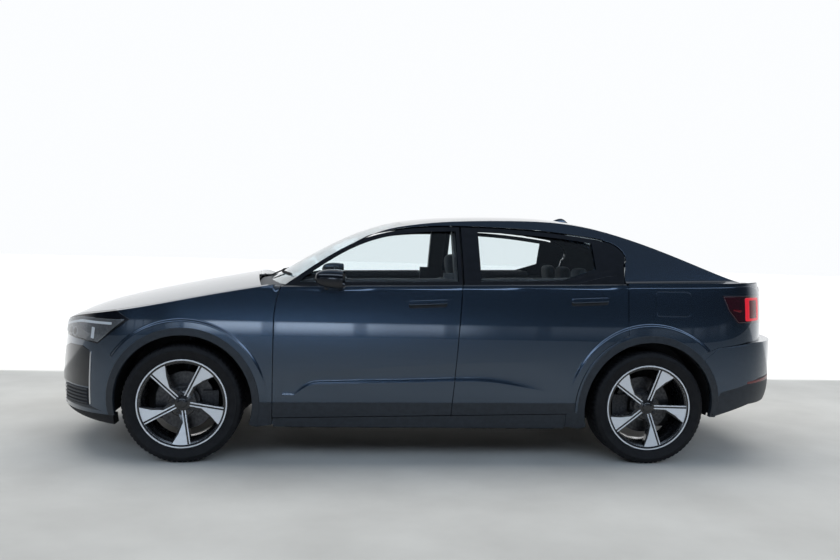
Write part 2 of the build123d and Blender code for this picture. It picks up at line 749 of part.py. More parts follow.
lowered_hood = slab(spread(front_x - 100, front_x + 100, 4), spread(300, 700, 5),
                    lambda x, y: (x, y, hood_top(x, y) - hood_wall - fit_gap), (0, 0, -300))


def front_frame():
    beam = block((front_x - 70, front_x + 70), (-1, rail_y_limits[1]), beam_z)
    post = block((front_x - 50, front_x + 50), rail_y_limits, (beam_z[0], rail_z_limits[1]))
    rail = block((dash_wall_x + floor_wall + fit_gap, front_x + 640), rail_y_limits, rail_z_limits)
    wall = block((front_x - 80, front_x + 80), (rail_y_limits[1] - 25, rail_y_limits[1]), (rail_z_limits[0], 870))
    tower = block((front_x - 80, front_x + 80), (rail_y_limits[1] - 10, king_top[1] + 65), (850, 870))
    pin_end = Vector(*king_low) + (Vector(*king_top) - Vector(*king_low)) * 1.1
    tower -= rod(pin_radius + fit_gap, king_low, tuple(pin_end))
    hood_stop = rod(14, (front_x, 500, 860), (front_x, 500, 1000)) & lowered_hood
    half = beam + post + rail + wall + tower + hood_stop + arm(front_x, 320, king_low[1], king_low[2], 110, 22)
    return half + mirrored(half)


def rear_frame():
    half = block((rear_x - 190, rear_x - 120), (-1, 470), (210, 290))
    half += block((rear_x + 120, rear_x + 190), (-1, 470), (210, 290))
    half += block((rear_x - 190, rear_x + 190), (400, 470), (210, 290))
    half += arm(rear_x, 440, hub_y - 110, rear_arm_z, 120, 30)
    half += block((rear_x - 190, rear_x - 150), (430, 470), (280, load_floor_z - fit_gap))
    half += block((rear_x + 150, rear_x + 190), (430, 470), (280, load_floor_z - fit_gap))
    half += rod(22, (rear_x, hub_y - 180, 250), (rear_x, hub_y - 190, load_floor_z + 90))
    return half + mirrored(half)


nodes["front_subframe"] = only(front_frame())
nodes["rear_subframe"] = only(rear_frame())
motor = drum(118, rear_x, (-225, 225), 350)
nodes["drive_unit"] = motor + block((rear_x - 185, rear_x + 185), (-70, 70), (290 + fit_gap, 312))

# Knuckles with stub axle and caliper
stub_radius = 34.0
hat_depth = 39.6
disc_wall = 26.0
disc_radius = 168.0
disc_back = -38.0
upright = (-100.0, -62.0)


def caliper(x, way):
    body_block = block((min(way * 105, way * 194) + x, max(way * 105, way * 194) + x),
                       (hub_y + upright[1] - 2, hub_y + 14), (hub_z - 62, hub_z + 62))
    return body_block - drum(disc_radius + 8, x, (hub_y + disc_back - 4, hub_y + disc_back + disc_wall + 4), hub_z)


def carrier(x, way):
    plate = block((x - 46, x + 46), (hub_y + upright[0], hub_y + upright[1]), (hub_z - 80, hub_z + 140))
    plate += drum(62, x, (hub_y + upright[0], hub_y + upright[1]), hub_z)
    plate += drum(stub_radius, x, (hub_y + upright[0], hub_y + 30.6), hub_z)
    bracket = block((min(0, way * 150) + x, max(0, way * 150) + x),
                    (hub_y + upright[0] + 12, hub_y + upright[1]), (hub_z - 40, hub_z + 40))
    return plate + bracket + caliper(x, way)


def front_knuckle():
    way = (Vector(*king_top) - Vector(*king_low)).normalized()
    along = lambda z: Vector(*king_low) + way * ((z - king_low[2]) / way.Z)
    boss = Pos(along(king_low[2] + ball_radius + fit_gap)) * Sphere(ball_radius)
    boss += block((front_x - 19, front_x + 19), (hub_y + upright[0], king_low[1] + 10), (240, hub_z - 70))
    boss += block((front_x - 26, front_x + 26), (along(455).Y - 14, hub_y + upright[1]), (430, 478))
    strut = rod(strut_radius, along(438), along(715)) + rod(spring_radius, along(700), along(835))
    strut += rod(pin_radius, along(830), along(868))
    return carrier(front_x, -1) + boss + strut


def rear_knuckle():
    return carrier(rear_x, 1) + block((rear_x - 30, rear_x + 30), (hub_y - 112, hub_y + upright[1]),
                                      (rear_arm_z + fit_gap, hub_z - 60))


nodes["knuckle_front_left"] = only(front_knuckle())
nodes["rear_knuckles"] = only(rear_knuckle())

# Wheels, tyres and discs
spoke_count = 5
face_profile = [(0, 40), (0, 82), (34, 82), (60, 85), (237, 103), (240, 92), (234, 80), (78, 60), (74, 40)]
rim_profile = [(rim_radius, 107), (rim_radius, 99), (240, 95), (228, 60), (228, -60), (240, -95), (rim_radius, -99),
               (rim_radius, -107), (241, -107), (232, -97), (219, -62), (219, 62), (231, 92), (236, 107)]
tyre_profile = [(rim_radius + 1, -104), (300, -tyre_width / 2), (tyre_radius - 8, -112), (tyre_radius, -90),
                (tyre_radius, 90), (tyre_radius - 8, 112), (300, tyre_width / 2), (rim_radius + 1, 104)]
disc_profile = [(disc_radius, disc_back), (disc_radius, disc_back + disc_wall), (92, disc_back + disc_wall),
                (92, hat_depth), (stub_radius + fit_gap, hat_depth), (stub_radius + fit_gap, 31), (84, 31), (84, disc_back)]
window_corners = [(84, 14.0), (226, 4.5), (226, 47.0), (112, 62.0), (84, 58.0)]
wheel_turn = {"front": -44.0, "rear": -36.0}
groove_width = 12.0


def turned(profile):
    return Solid.revolve(path(profile, lambda p: (p[0], p[1], 0)), 360, Axis.Y)


def wheel():
    face = turned(face_profile)
    for i in range(spoke_count):
        turn = 360 / spoke_count * i
        corners = []
        for radius, angle in window_corners:
            around = math.radians(turn - angle)
            corners.append((radius * math.cos(around), 0, radius * math.sin(around)))
        opening = Solid.extrude(Face(Wire.make_polygon(corners)), (0, 200, 0))
        opening = fillet(opening.edges().filter_by(Axis.Y), 9)
        groove = Location((0, 0, 0), (0, -turn, 0)) * block((82, 232), (80, 200), (-groove_width / 2, groove_width / 2))
        groove = groove & turned([(70, 78), (235, 96), (235, 130), (70, 130)])
        face = face - opening - groove
    return only(face + turned(rim_profile))


wheel_shape, tyre_shape, disc_shape = wheel(), turned(tyre_profile), turned(disc_profile)
for axle, x in (("front", front_x), ("rear", rear_x)):
    for side, way in (("left", 1), ("right", -1)):
        place = Location((x, way * hub_y, hub_z), (0, wheel_turn[axle], 0))
        for kind, shape in (("wheel", wheel_shape), ("tyre", tyre_shape), ("disc", disc_shape)):
            solid = shape if way > 0 else Rot(0, 0, 180) * shape
            nodes[f"{kind}_{axle}_{side}"] = solid.moved(place)

# Cabin: dashboard, steering wheel and seats
seat_y = 370.0
dash = side_prism([(dash_wall_x - fit_gap, 850), (front_x - 560, 940), (front_x - 700, 975),
                   [(front_x - 701, 975), (front_x - 860, 955), (front_x - 885, 890)], (front_x - 800, 740),
                   (front_x - 640, 640), (dash_wall_x - fit_gap, 640)], -660, 660)
wheel_plane = Plane((front_x - 985, seat_y, 890), x_dir=(0, 1, 0), z_dir=(-0.9, 0, 0.43))
column_radius = 26.0
hoop = wheel_plane * (Torus(178, 15) + Cylinder(62, 30) + Box(350, 26, 14)
                      + Pos(0, -85, 0) * Box(26, 160, 14))
column = wheel_plane * (Pos(0, 0, -95) * Cylinder(column_radius, 170))
nodes["dashboard"] = only(dash - wheel_plane * (Pos(0, 0, -105) * Cylinder(column_radius + fit_gap, 190)))
nodes["steering_wheel"] = only(hoop + column)


def front_seat():
    cushion = side_prism([(-190, 290), (330, 290), (345, 400), (330, 560), [(329, 560), (250, 585), (-110, 520)],
                          [(-111, 522), (-180, 620), (-235, 1030)], [(-236, 1030), (-275, 1050), (-300, 1030)],
                          (-310, 700), (-270, 420)], seat_y - 250, seat_y + 250)
    head = side_prism([(-205, 1075), (-220, 1205), (-300, 1215), (-310, 1080)], seat_y - 130, seat_y + 130)
    posts = [rod(7, (-265, seat_y + d, 1030), (-262, seat_y + d, 1100)) for d in (-55, 55)]
    base = block((-150, 280), (seat_y - 220, seat_y + 220), (floor_z + floor_wall + fit_gap, 291))
    return cushion + head + posts[0] + posts[1] + base


def rear_seat():
    bench = side_prism([(-430, 290), (-400, 430), [(-410, 540), (-450, 575), (-760, 545)],
                        [(-765, 550), (-900, 800), (-980, 1010)], [(-981, 1010), (-1010, 1022), (-1035, 1005)],
                        (-860, 619), (-850, 290)], -620, 620)
    base = block((-820, -460), (-520, 520), (floor_z + floor_wall + fit_gap, 291))
    bench += base
    for y in (-400, 0, 400):
        bench += side_prism([(-955, 1040), (-965, 1150), (-1025, 1155), (-1035, 1045)], y - 120, y + 120)
        for offset in (-50, 50):
            bench += rod(7, (-1000, y + offset, 1005), (-998, y + offset, 1060))
    return bench


nodes["front_seats"] = only(front_seat())
nodes["rear_seat"] = only(rear_seat())

# Door mirrors
mirror_x, mirror_z = front_x - 818, 1086.0
housing = fillet(block((mirror_x - 82, mirror_x + 82), (half_width - 55, half_width + 62),
                       (mirror_z - 44, mirror_z + 40)).edges(), 30)
foot_low = [(x, shoulder(x) + fit_gap) for x in (mirror_x - 20, mirror_x + 60)]
stalk = side_prism([*foot_low, (mirror_x + 45, mirror_z), (mirror_x - 5, mirror_z)], half_width - 62, half_width - 28)
nodes["mirror_left"] = only(housing + stalk)

# Right-hand side: mirror images of the left
for name in ("door_front", "door_rear", "glass_front", "glass_rear", "knuckle_front", "mirror"):
    nodes[f"{name}_right"] = mirrored(nodes[f"{name}_left"])
for name in ("wings", "head_lamps", "tail_lamps", "sill_cladding", "rear_knuckles", "front_seats", "body_sides"):
    nodes[name] = pair(nodes[name])
nodes["wheel_liners"] = Compound(children=[s for shape in (liner_front, liner_rear) for s in (shape, mirrored(shape))])

os.makedirs("parts", exist_ok=True)
for name, shape in nodes.items():
    export_step(shape, f"parts/{name}.step")
    print(name, len(shape.solids()), round(sum(s.volume for s in shape.solids()) / 1e6, 3))
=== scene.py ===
from math import acos, asin, copysign, cos, degrees, exp, hypot, pi, radians, sin

import bpy
import bmesh
import numpy as np
from mathutils import Matrix, Vector
from mathutils.geometry import delaunay_2d_cdt


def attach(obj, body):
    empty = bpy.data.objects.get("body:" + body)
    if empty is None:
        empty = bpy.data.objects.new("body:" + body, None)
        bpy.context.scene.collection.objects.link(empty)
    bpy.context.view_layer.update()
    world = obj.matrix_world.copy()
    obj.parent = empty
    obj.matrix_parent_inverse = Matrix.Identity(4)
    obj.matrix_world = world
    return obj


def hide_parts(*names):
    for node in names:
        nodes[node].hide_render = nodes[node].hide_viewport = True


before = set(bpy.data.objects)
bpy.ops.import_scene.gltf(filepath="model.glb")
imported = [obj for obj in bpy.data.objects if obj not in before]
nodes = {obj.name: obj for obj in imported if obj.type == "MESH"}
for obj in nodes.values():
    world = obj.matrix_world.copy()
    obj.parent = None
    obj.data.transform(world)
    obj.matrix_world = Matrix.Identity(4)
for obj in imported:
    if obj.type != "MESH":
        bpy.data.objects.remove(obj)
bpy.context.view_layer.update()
print("frame loaded:", len(nodes), "nodes")

# Main sizes of the car in millimetres, as in the part
carLength, carHeight, halfWidth = 4606.0, 1479.0, 929.5
frontAxle, rearAxle, hubZ, hubY = 1433.0, -1302.0, 338.0, 797.0
noseCentre, tailCentre = frontAxle - 33, rearAxle + 2
nosePower, noseSide, tailPower, tailSide = 2.8, 2.0, 4.0, 2.4
tailStep = 72.0
proud = 1.6  # the dressed panels lie this far over the solids


# New meshes and objects
def newMesh(name, verts, faces, mats):
    mesh = bpy.data.meshes.new(name)
    mesh.from_pydata(verts, [], faces)
    mesh.polygons.foreach_set("use_smooth", [True] * len(mesh.polygons))
    for mat in mats:
        mesh.materials.append(mat)
    mesh.update()
    return mesh


def newObject(name, data):
    obj = bpy.data.objects.new(name, data)
    bpy.context.scene.collection.objects.link(obj)
    return obj


# Camera
camera = dict(place=(0.5617, 5.7035, 1.2615), yaw=5.569, pitch=-2.247, roll=1.554, focal=833.2, width=840)


def makeCamera(c):
    yaw, pitch, roll = (radians(c[k]) for k in ("yaw", "pitch", "roll"))
    ahead = Vector((-sin(yaw) * cos(pitch), -cos(yaw) * cos(pitch), sin(pitch)))
    right = ahead.cross(Vector((0, 0, 1))).normalized()
    up = right.cross(ahead)
    side = right * cos(roll) + up * sin(roll)
    top = up * cos(roll) - right * sin(roll)
    data = bpy.data.cameras.new("sideCamera")
    data.sensor_width = 36.0
    data.lens = c["focal"] / c["width"] * data.sensor_width
    cam = newObject("sideCamera", data)
    turn = Matrix((side, top, -ahead)).transposed().to_4x4()
    cam.matrix_world = Matrix.Translation(c["place"]) @ turn
    bpy.context.scene.camera = cam


makeCamera(camera)


# Materials
def shader(mat):
    return mat.node_tree.nodes["Principled BSDF"]


def fill(node, **values):
    # values by socket name, with underscores for spaces; three numbers are a colour
    for key, value in values.items():
        if isinstance(value, tuple) and len(value) == 3:
            value = (*value, 1.0)
        node.inputs[key.replace("_", " ")].default_value = value


def newFinish(name, tones=None, gloss=None, bump=None, **values):
    # tones, gloss, bump: a noise scale (or scale and detail), then what tint, shine and grain take
    mat = bpy.data.materials.new(name)
    mat.use_nodes = True
    fill(shader(mat), **values)
    for make, job in ((tint, tones), (shine, gloss), (grain, bump)):
        if job:
            scale, *ends = job
            make(mat, noise(mat, *scale) if isinstance(scale, tuple) else noise(mat, scale), *ends)
    return mat


def addNode(mat, kind, **settings):
    node = mat.node_tree.nodes.new(kind)
    for key, value in settings.items():
        setattr(node, key, value)
    return node


def wire(mat, start, end):
    mat.node_tree.links.new(start, end)


def objectPlace(mat):
    return addNode(mat, "ShaderNodeTexCoord").outputs["Object"]


def noise(mat, scale, detail=3.0, rough=0.55):
    node = addNode(mat, "ShaderNodeTexNoise")
    wire(mat, objectPlace(mat), node.inputs["Vector"])
    fill(node, Scale=scale, Detail=detail, Roughness=rough)
    return node.outputs["Fac"]


def tint(mat, source, first, second, low=0.35, high=0.65):
    # colour between two tones, by a texture
    ramp = addNode(mat, "ShaderNodeValToRGB")
    for stop, place, tone in zip(ramp.color_ramp.elements, (low, high), (first, second)):
        stop.position, stop.color = place, (*tone, 1)
    wire(mat, source, ramp.inputs["Fac"])
    wire(mat, ramp.outputs["Color"], shader(mat).inputs["Base Color"])


def shine(mat, source, low, high):
    # roughness between two values, by a texture
    ramp = addNode(mat, "ShaderNodeMapRange")
    fill(ramp, To_Min=low, To_Max=high)
    wire(mat, source, ramp.inputs["Value"])
    wire(mat, ramp.outputs["Result"], shader(mat).inputs["Roughness"])


def smoothRange(mat, source, low, high, atLow, atHigh):
    node = addNode(mat, "ShaderNodeMapRange", interpolation_type="SMOOTHSTEP")
    fill(node, From_Min=low, From_Max=high, To_Min=atLow, To_Max=atHigh)
    wire(mat, source, node.inputs["Value"])
    return node.outputs["Result"]


def grain(mat, source, strength, distance):
    bump = addNode(mat, "ShaderNodeBump")
    fill(bump, Strength=strength, Distance=distance)
    wire(mat, source, bump.inputs["Height"])
    wire(mat, bump.outputs["Normal"], shader(mat).inputs["Normal"])


# Finishes
paint = newFinish("nightBluePaint", ((900, 1.0), (0.023, 0.041, 0.067), (0.040, 0.063, 0.096)),
                  bump=((1400, 1.0), 0.05, 0.0003), Metallic=0.9, Coat_Weight=1.0, Coat_Roughness=0.01,
                  Roughness=0.24)
cladding = newFinish("satinCladding", (40, (0.011, 0.015, 0.020), (0.017, 0.022, 0.029)), (300, 0.38, 0.52),
                     ((1500, 2.0), 0.15, 0.0004), Specular_IOR_Level=0.4)
glossBlack = newFinish("glossBlack", (20, (0.002, 0.003, 0.005), (0.004, 0.005, 0.008)), (60, 0.10, 0.16),
                       Coat_Weight=0.25, Coat_Roughness=0.03, Specular_IOR_Level=0.35)

clear = dict(Transmission_Weight=1.0, Roughness=0.0)
sideGlass = newFinish("sideGlass", Base_Color=(0.9, 0.95, 0.96), IOR=1.03, Coat_Weight=0.6, Coat_Roughness=0.0,
                      **clear)
screenGlass = newFinish("screenGlass", Base_Color=(0.66, 0.80, 0.86), IOR=1.45, **clear)
rearGlass = newFinish("rearGlass", Base_Color=(0.26, 0.31, 0.34), IOR=1.45, **clear)
lampLens = newFinish("lampLens", Base_Color=(0.93, 0.95, 0.97), IOR=1.4, **clear)
roofGlass = newFinish("roofGlass", (8, (0.006, 0.007, 0.009), (0.009, 0.010, 0.013)), (30, 0.03, 0.06),
                      Coat_Weight=0.5, Coat_Roughness=0.02)
mirrorGlass = newFinish("mirrorGlass", (10, (0.55, 0.58, 0.6), (0.6, 0.63, 0.65)),
                        (20, 0.02, 0.04), Metallic=1.0)

redLens = newFinish("redLens", (60, (0.16, 0.004, 0.010), (0.26, 0.006, 0.014)), (90, 0.08, 0.16),
                    Coat_Weight=0.3, Coat_Roughness=0.03, Transmission_Weight=0.35)
smokedRed = newFinish("smokedRed", (60, (0.020, 0.003, 0.006), (0.034, 0.004, 0.009)), (90, 0.06, 0.12),
                      Coat_Weight=1.0, Coat_Roughness=0.03)
redGlow = newFinish("redGlow", gloss=(120, 0.1, 0.2), Base_Color=(0.7, 0.02, 0.03),
                    Emission_Color=(0.9, 0.02, 0.05), Emission_Strength=0.3)
lampInner = newFinish("lampInner", (120, (0.16, 0.165, 0.175), (0.27, 0.275, 0.285)),
                      (80, 0.18, 0.3), Metallic=0.6)
lampWhite = newFinish("lampWhite", gloss=(200, 0.2, 0.3), Base_Color=(0.62, 0.65, 0.68),
                      Emission_Color=(0.9, 0.95, 1.0), Emission_Strength=0.12)

darkAlloy = newFinish("darkAlloy", (400, (0.006, 0.006, 0.007), (0.012, 0.012, 0.013)), (50, 0.22, 0.32),
                      Metallic=0.35, Coat_Weight=0.6, Coat_Roughness=0.06)
brightAlloy = newFinish("brightAlloy", (500, (0.62, 0.63, 0.65), (0.74, 0.75, 0.76)),
                        (180, 0.24, 0.36), Metallic=0.4)
brightTrim = newFinish("brightTrim", (300, (0.5, 0.51, 0.53), (0.62, 0.63, 0.65)),
                       (150, 0.16, 0.26), Metallic=1.0)
discSteel = newFinish("discSteel", (60, (0.045, 0.045, 0.047), (0.085, 0.085, 0.088)), (300, 0.28, 0.42),
                      Metallic=1.0)
castMetal = newFinish("castMetal", (80, (0.03, 0.03, 0.032), (0.06, 0.06, 0.063)), (120, 0.45, 0.65),
                      (600, 0.25, 0.0006), Metallic=0.8)

rubber = newFinish("tyreRubber", (25, (0.005, 0.005, 0.006), (0.009, 0.009, 0.010)), (200, 0.55, 0.72),
                   (900, 0.12, 0.0005), Specular_IOR_Level=0.2)
sealRubber = newFinish("sealRubber", (90, (0.004, 0.006, 0.009), (0.006, 0.009, 0.013)), (500, 0.7, 0.85),
                       Specular_IOR_Level=0.0)
underPlastic = newFinish("underPlastic", (30, (0.008, 0.008, 0.009), (0.014, 0.014, 0.015)), (150, 0.6, 0.8),
                         (500, 0.2, 0.0006), Specular_IOR_Level=0.3)
cabinTrim = newFinish("cabinTrim", (60, (0.014, 0.015, 0.017), (0.024, 0.025, 0.027)), (250, 0.5, 0.66),
                      (1200, 0.25, 0.0005), Specular_IOR_Level=0.35)
seatCloth = newFinish("seatCloth", ((700, 2.0), (0.018, 0.024, 0.027), (0.036, 0.045, 0.049)), (400, 0.7, 0.9),
                      ((1600, 2.0), 0.5, 0.0008), Specular_IOR_Level=0.25, Sheen_Weight=0.25,
                      Sheen_Roughness=0.4)
print("finishes made")


def coat(names, mat):
    for name in names:
        mesh = nodes[name].data
        mesh.materials.clear()
        mesh.materials.append(mat)


sides = ("left", "right")
corners = [f"{a}_{s}" for a in ("front", "rear") for s in sides]


def each(stem):
    return [f"{stem}_{c}" for c in corners]


coat(["body_sides", "wings", "hood", "front_bumper", "rear_bumper", "roof_rear_panel", "hatch",
      "charge_flap"], paint)
coat(each("door"), paint)
coat(["rear_diffuser", "sill_cladding", "cowl"], cladding)
coat(["front_grille", "head_lamps", "mirror_left", "mirror_right"], glossBlack)
coat(each("glass"), sideGlass)
coat(["windscreen"], screenGlass)
coat(["hatch_glass"], rearGlass)
coat(["roof_glass"], roofGlass)
coat(["tail_lamps", "light_bar"], smokedRed)
coat(each("wheel"), darkAlloy)
coat(each("tyre"), rubber)
coat(each("disc"), discSteel)
coat(["front_subframe", "rear_subframe", "drive_unit", "rear_knuckles", "knuckle_front_left",
      "knuckle_front_right"], castMetal)
coat(["floor_pan", "battery_pack", "wheel_liners", "front_lip"], underPlastic)
coat(["dashboard", "steering_wheel", "front_seats", "rear_seat"], cabinTrim)


# Outer form of the car, in millimetres
def smoothCurve(points):
    xs, zs = (np.array(v, float) for v in zip(*sorted(points)))
    step = np.diff(xs)
    count = len(xs)
    system, right = np.eye(count), np.zeros(count)
    for i in range(1, count - 1):
        system[i, i - 1:i + 2] = step[i - 1], 2 * (step[i - 1] + step[i]), step[i]
        right[i] = 6 * ((zs[i + 1] - zs[i]) / step[i] - (zs[i] - zs[i - 1]) / step[i - 1])
    bend = np.linalg.solve(system, right)

    def value(x):
        i = min(max(int(np.searchsorted(xs, x)) - 1, 0), count - 2)
        a, b, h = xs[i + 1] - x, x - xs[i], step[i]
        return ((bend[i] * a ** 3 + bend[i + 1] * b ** 3) / (6 * h)
                + (zs[i] / h - bend[i] * h / 6) * a + (zs[i + 1] / h - bend[i + 1] * h / 6) * b)

    return value


def ease(low, high, x):
    t = min(max((x - low) / (high - low), 0.0), 1.0)
    return t * t * (3 - 2 * t)


def halfBreadth(z):
    if z < 600:
        return halfWidth - 55 * ((600 - z) / 400) ** 2.2
    return halfWidth - 42 * ((z - 600) / 480) ** 2


def noseReach(z):
    return carLength / 2 - (45 * ((310 - z) / 68) ** 2 if z < 310 else 30 * ((z - 310) / 435) ** 2)


def tailReach(z, step):
    tuck = 24 * ((450 - z) / 90) ** 2 if z < 450 else 0.0
    lean = 12 * ((z - 900) / 180) ** 2 if z > 900 else 0.0
    return -carLength / 2 + step + tuck + lean


def nosePoint(turn, z, lift=0.0):
    angle = radians(turn)
    reach = noseReach(z) + lift - noseCentre
    return (noseCentre + reach * cos(angle) ** (2 / nosePower),
            (halfBreadth(z) + lift) * sin(angle) ** (2 / noseSide))


def tailPoint(turn, z, lift=0.0, step=tailStep):
    angle = radians(turn)
    reach = tailReach(z, step) - lift - tailCentre
    return (tailCentre + reach * cos(angle) ** (2 / tailPower),
            (halfBreadth(z) + lift) * sin(angle) ** (2 / tailSide))


def flank(x, z, step=tailStep):
    if tailCentre <= x <= noseCentre:
        return halfBreadth(z)
    nose = x > noseCentre
    centre = noseCentre if nose else tailCentre
    reach = (noseReach(z) if nose else tailReach(z, step)) - centre
    share = min((x - centre) / reach, 0.9999)
    power, side = (nosePower, noseSide) if nose else (tailPower, tailSide)
    return halfBreadth(z) * (1 - share ** power) ** (1 / side)


def shoulder(x):
    return 1038 - 0.026 * x


def hoodTop(x, y):
    t = (x - frontAxle + 333) / 1203
    return carHeight - 403 - 215 * t - 55 * t ** 2 - 110 * max(t, 0) ** 10 - 62 * (y / 800) ** 2


def fromAxle(axle, *points):
    return [(axle + x, z) for x, z in points]


crown = smoothCurve(fromAxle(frontAxle, (-203, 877), (-362, 988), (-664, 1184), (-919, 1320), (-1107, 1394),
                             (-1313, 1440), (-1623, 1469))
                    + fromAxle(rearAxle, (802, 1479), (402, 1462), (102, 1398), (-198, 1302), (-498, 1192),
                               (-748, 1116), (-998, 1077)))


def roofTop(x, y):
    screen = ease(frontAxle - 1333, frontAxle - 833, x)
    return crown(x + 2.6e-4 * screen * y * y) - (42 - 34 * screen) * (y / 620) ** 2


def glassSide(x, z):
    pinch = 60 * (x / 940) ** 2 if x > 0 else 165 * (-x / 2100) ** 2.2
    rise = z - shoulder(x)
    return halfWidth - 63.5 - pinch - 0.58 * rise - 0.00022 * rise * abs(rise)


def railY(x):
    low, high = 300.0, 900.0
    for _ in range(30):
        mid = (low + high) / 2
        low, high = (mid, high) if glassSide(x, roofTop(x, mid)) > mid else (low, mid)
    return low


def bLine(z):
    return (frontAxle + rearAxle) / 2 - 175 - 0.0686 * (z - 283)


def doorFoot(x):
    return 282 - 0.0215 * x


# Dish pressed into the lower doors, and the flares round the wheel arches (radius, rise)
hollow = dict(depth=6.2, frontX=885.0, rearX=-835.0, frontRamp=19.0, rearRamp=335.0, crestEnd=800.0)
hollowTop = smoothCurve([(885, 532), (300, 568), (-214, 599), (-812, 622)])
hollowCrest = smoothCurve([(800, 395), (724, 452), (640, 466), (520, 470), (136, 480), (-200, 490),
                           (-336, 486), (-520, 458), (-686, 420), (-797, 368)])
flare = dict(front=(488.0, 7.0), rear=(505.0, 7.0), soft=16.0)


def pressed(x, z):
    front, rear = hollow["frontX"], hollow["rearX"]
    top, crest = hollowTop(x), hollowCrest(min(x, hollow["crestEnd"]))
    if not (rear < x < front and crest < z < top):
        return 0.0
    ends = ease(front, front - hollow["frontRamp"], x) * ease(rear, rear + hollow["rearRamp"], x)
    share = (z - crest) / (top - crest)
    return 6.75 * hollow["depth"] * ends * share * (1 - share) ** 2  # deepest at a third of its height


def flared(x, z):
    out = 0.0
    for axle, key in ((frontAxle, "front"), (rearAxle, "rear")):
        radius, rise = flare[key]
        gap = hypot(x - axle, z - hubZ)
        if gap < radius:
            fade = ease(-0.2, 0.55, (z - hubZ) / max(gap, 1))
            out += rise * fade * ease(radius, radius - flare["soft"], gap)
    return out


def sideY(x, z):
    # one surface from the sill to the roof rail, with the shoulder rolled over
    ridge = shoulder(x)
    low = flank(x, min(z, ridge)) + flared(x, z) - pressed(x, z)
    if z < ridge - 16 or x > frontAxle - 500:
        return low
    high = glassSide(x, z)
    return low + (high - low) * ease(ridge - 16, ridge + 22, z)


# Panels: a trimmed sheet laid over a surface, with rolled edges
def spread(start, stop, count):
    return [start + (stop - start) * i / (count - 1) for i in range(count)]


def resample(points, gap):
    out = []
    for a, b in zip(points, points[1:] + points[:1]):
        pieces = max(1, int(hypot(b[0] - a[0], b[1] - a[1]) / gap))
        out += [(a[0] + (b[0] - a[0]) * i / pieces, a[1] + (b[1] - a[1]) * i / pieces) for i in range(pieces)]
    return np.array(out)


def area(loop):
    x, z = loop[:, 0], loop[:, 1]
    return 0.5 * float(np.sum(x * np.roll(z, -1) - np.roll(x, -1) * z))


def inside(points, loop):
    x, z = points[:, 0][:, None], points[:, 1][:, None]
    x0, z0 = loop[:, 0][None], loop[:, 1][None]
    x1, z1 = np.roll(loop[:, 0], -1)[None], np.roll(loop[:, 1], -1)[None]
    rise = np.where(z1 == z0, 1e-9, z1 - z0)
    hit = ((z0 > z) != (z1 > z)) & (x < (x1 - x0) * (z - z0) / rise + x0)
    return hit.sum(1) % 2 == 1


def nearest(points, loop):
    return np.sqrt(((points[:, None] - loop[None]) ** 2).sum(2)).min(1)


def outward(loop):
    ahead = np.roll(loop, -1, 0) - loop
    ahead /= np.maximum(np.linalg.norm(ahead, axis=1), 1e-9)[:, None]
    normal = np.stack([ahead[:, 1], -ahead[:, 0]], 1)
    mean = normal + np.roll(normal, 1, 0)
    length = np.maximum(np.linalg.norm(mean, axis=1), 0.7)
    return mean / length[:, None] * (1 / length)[:, None]


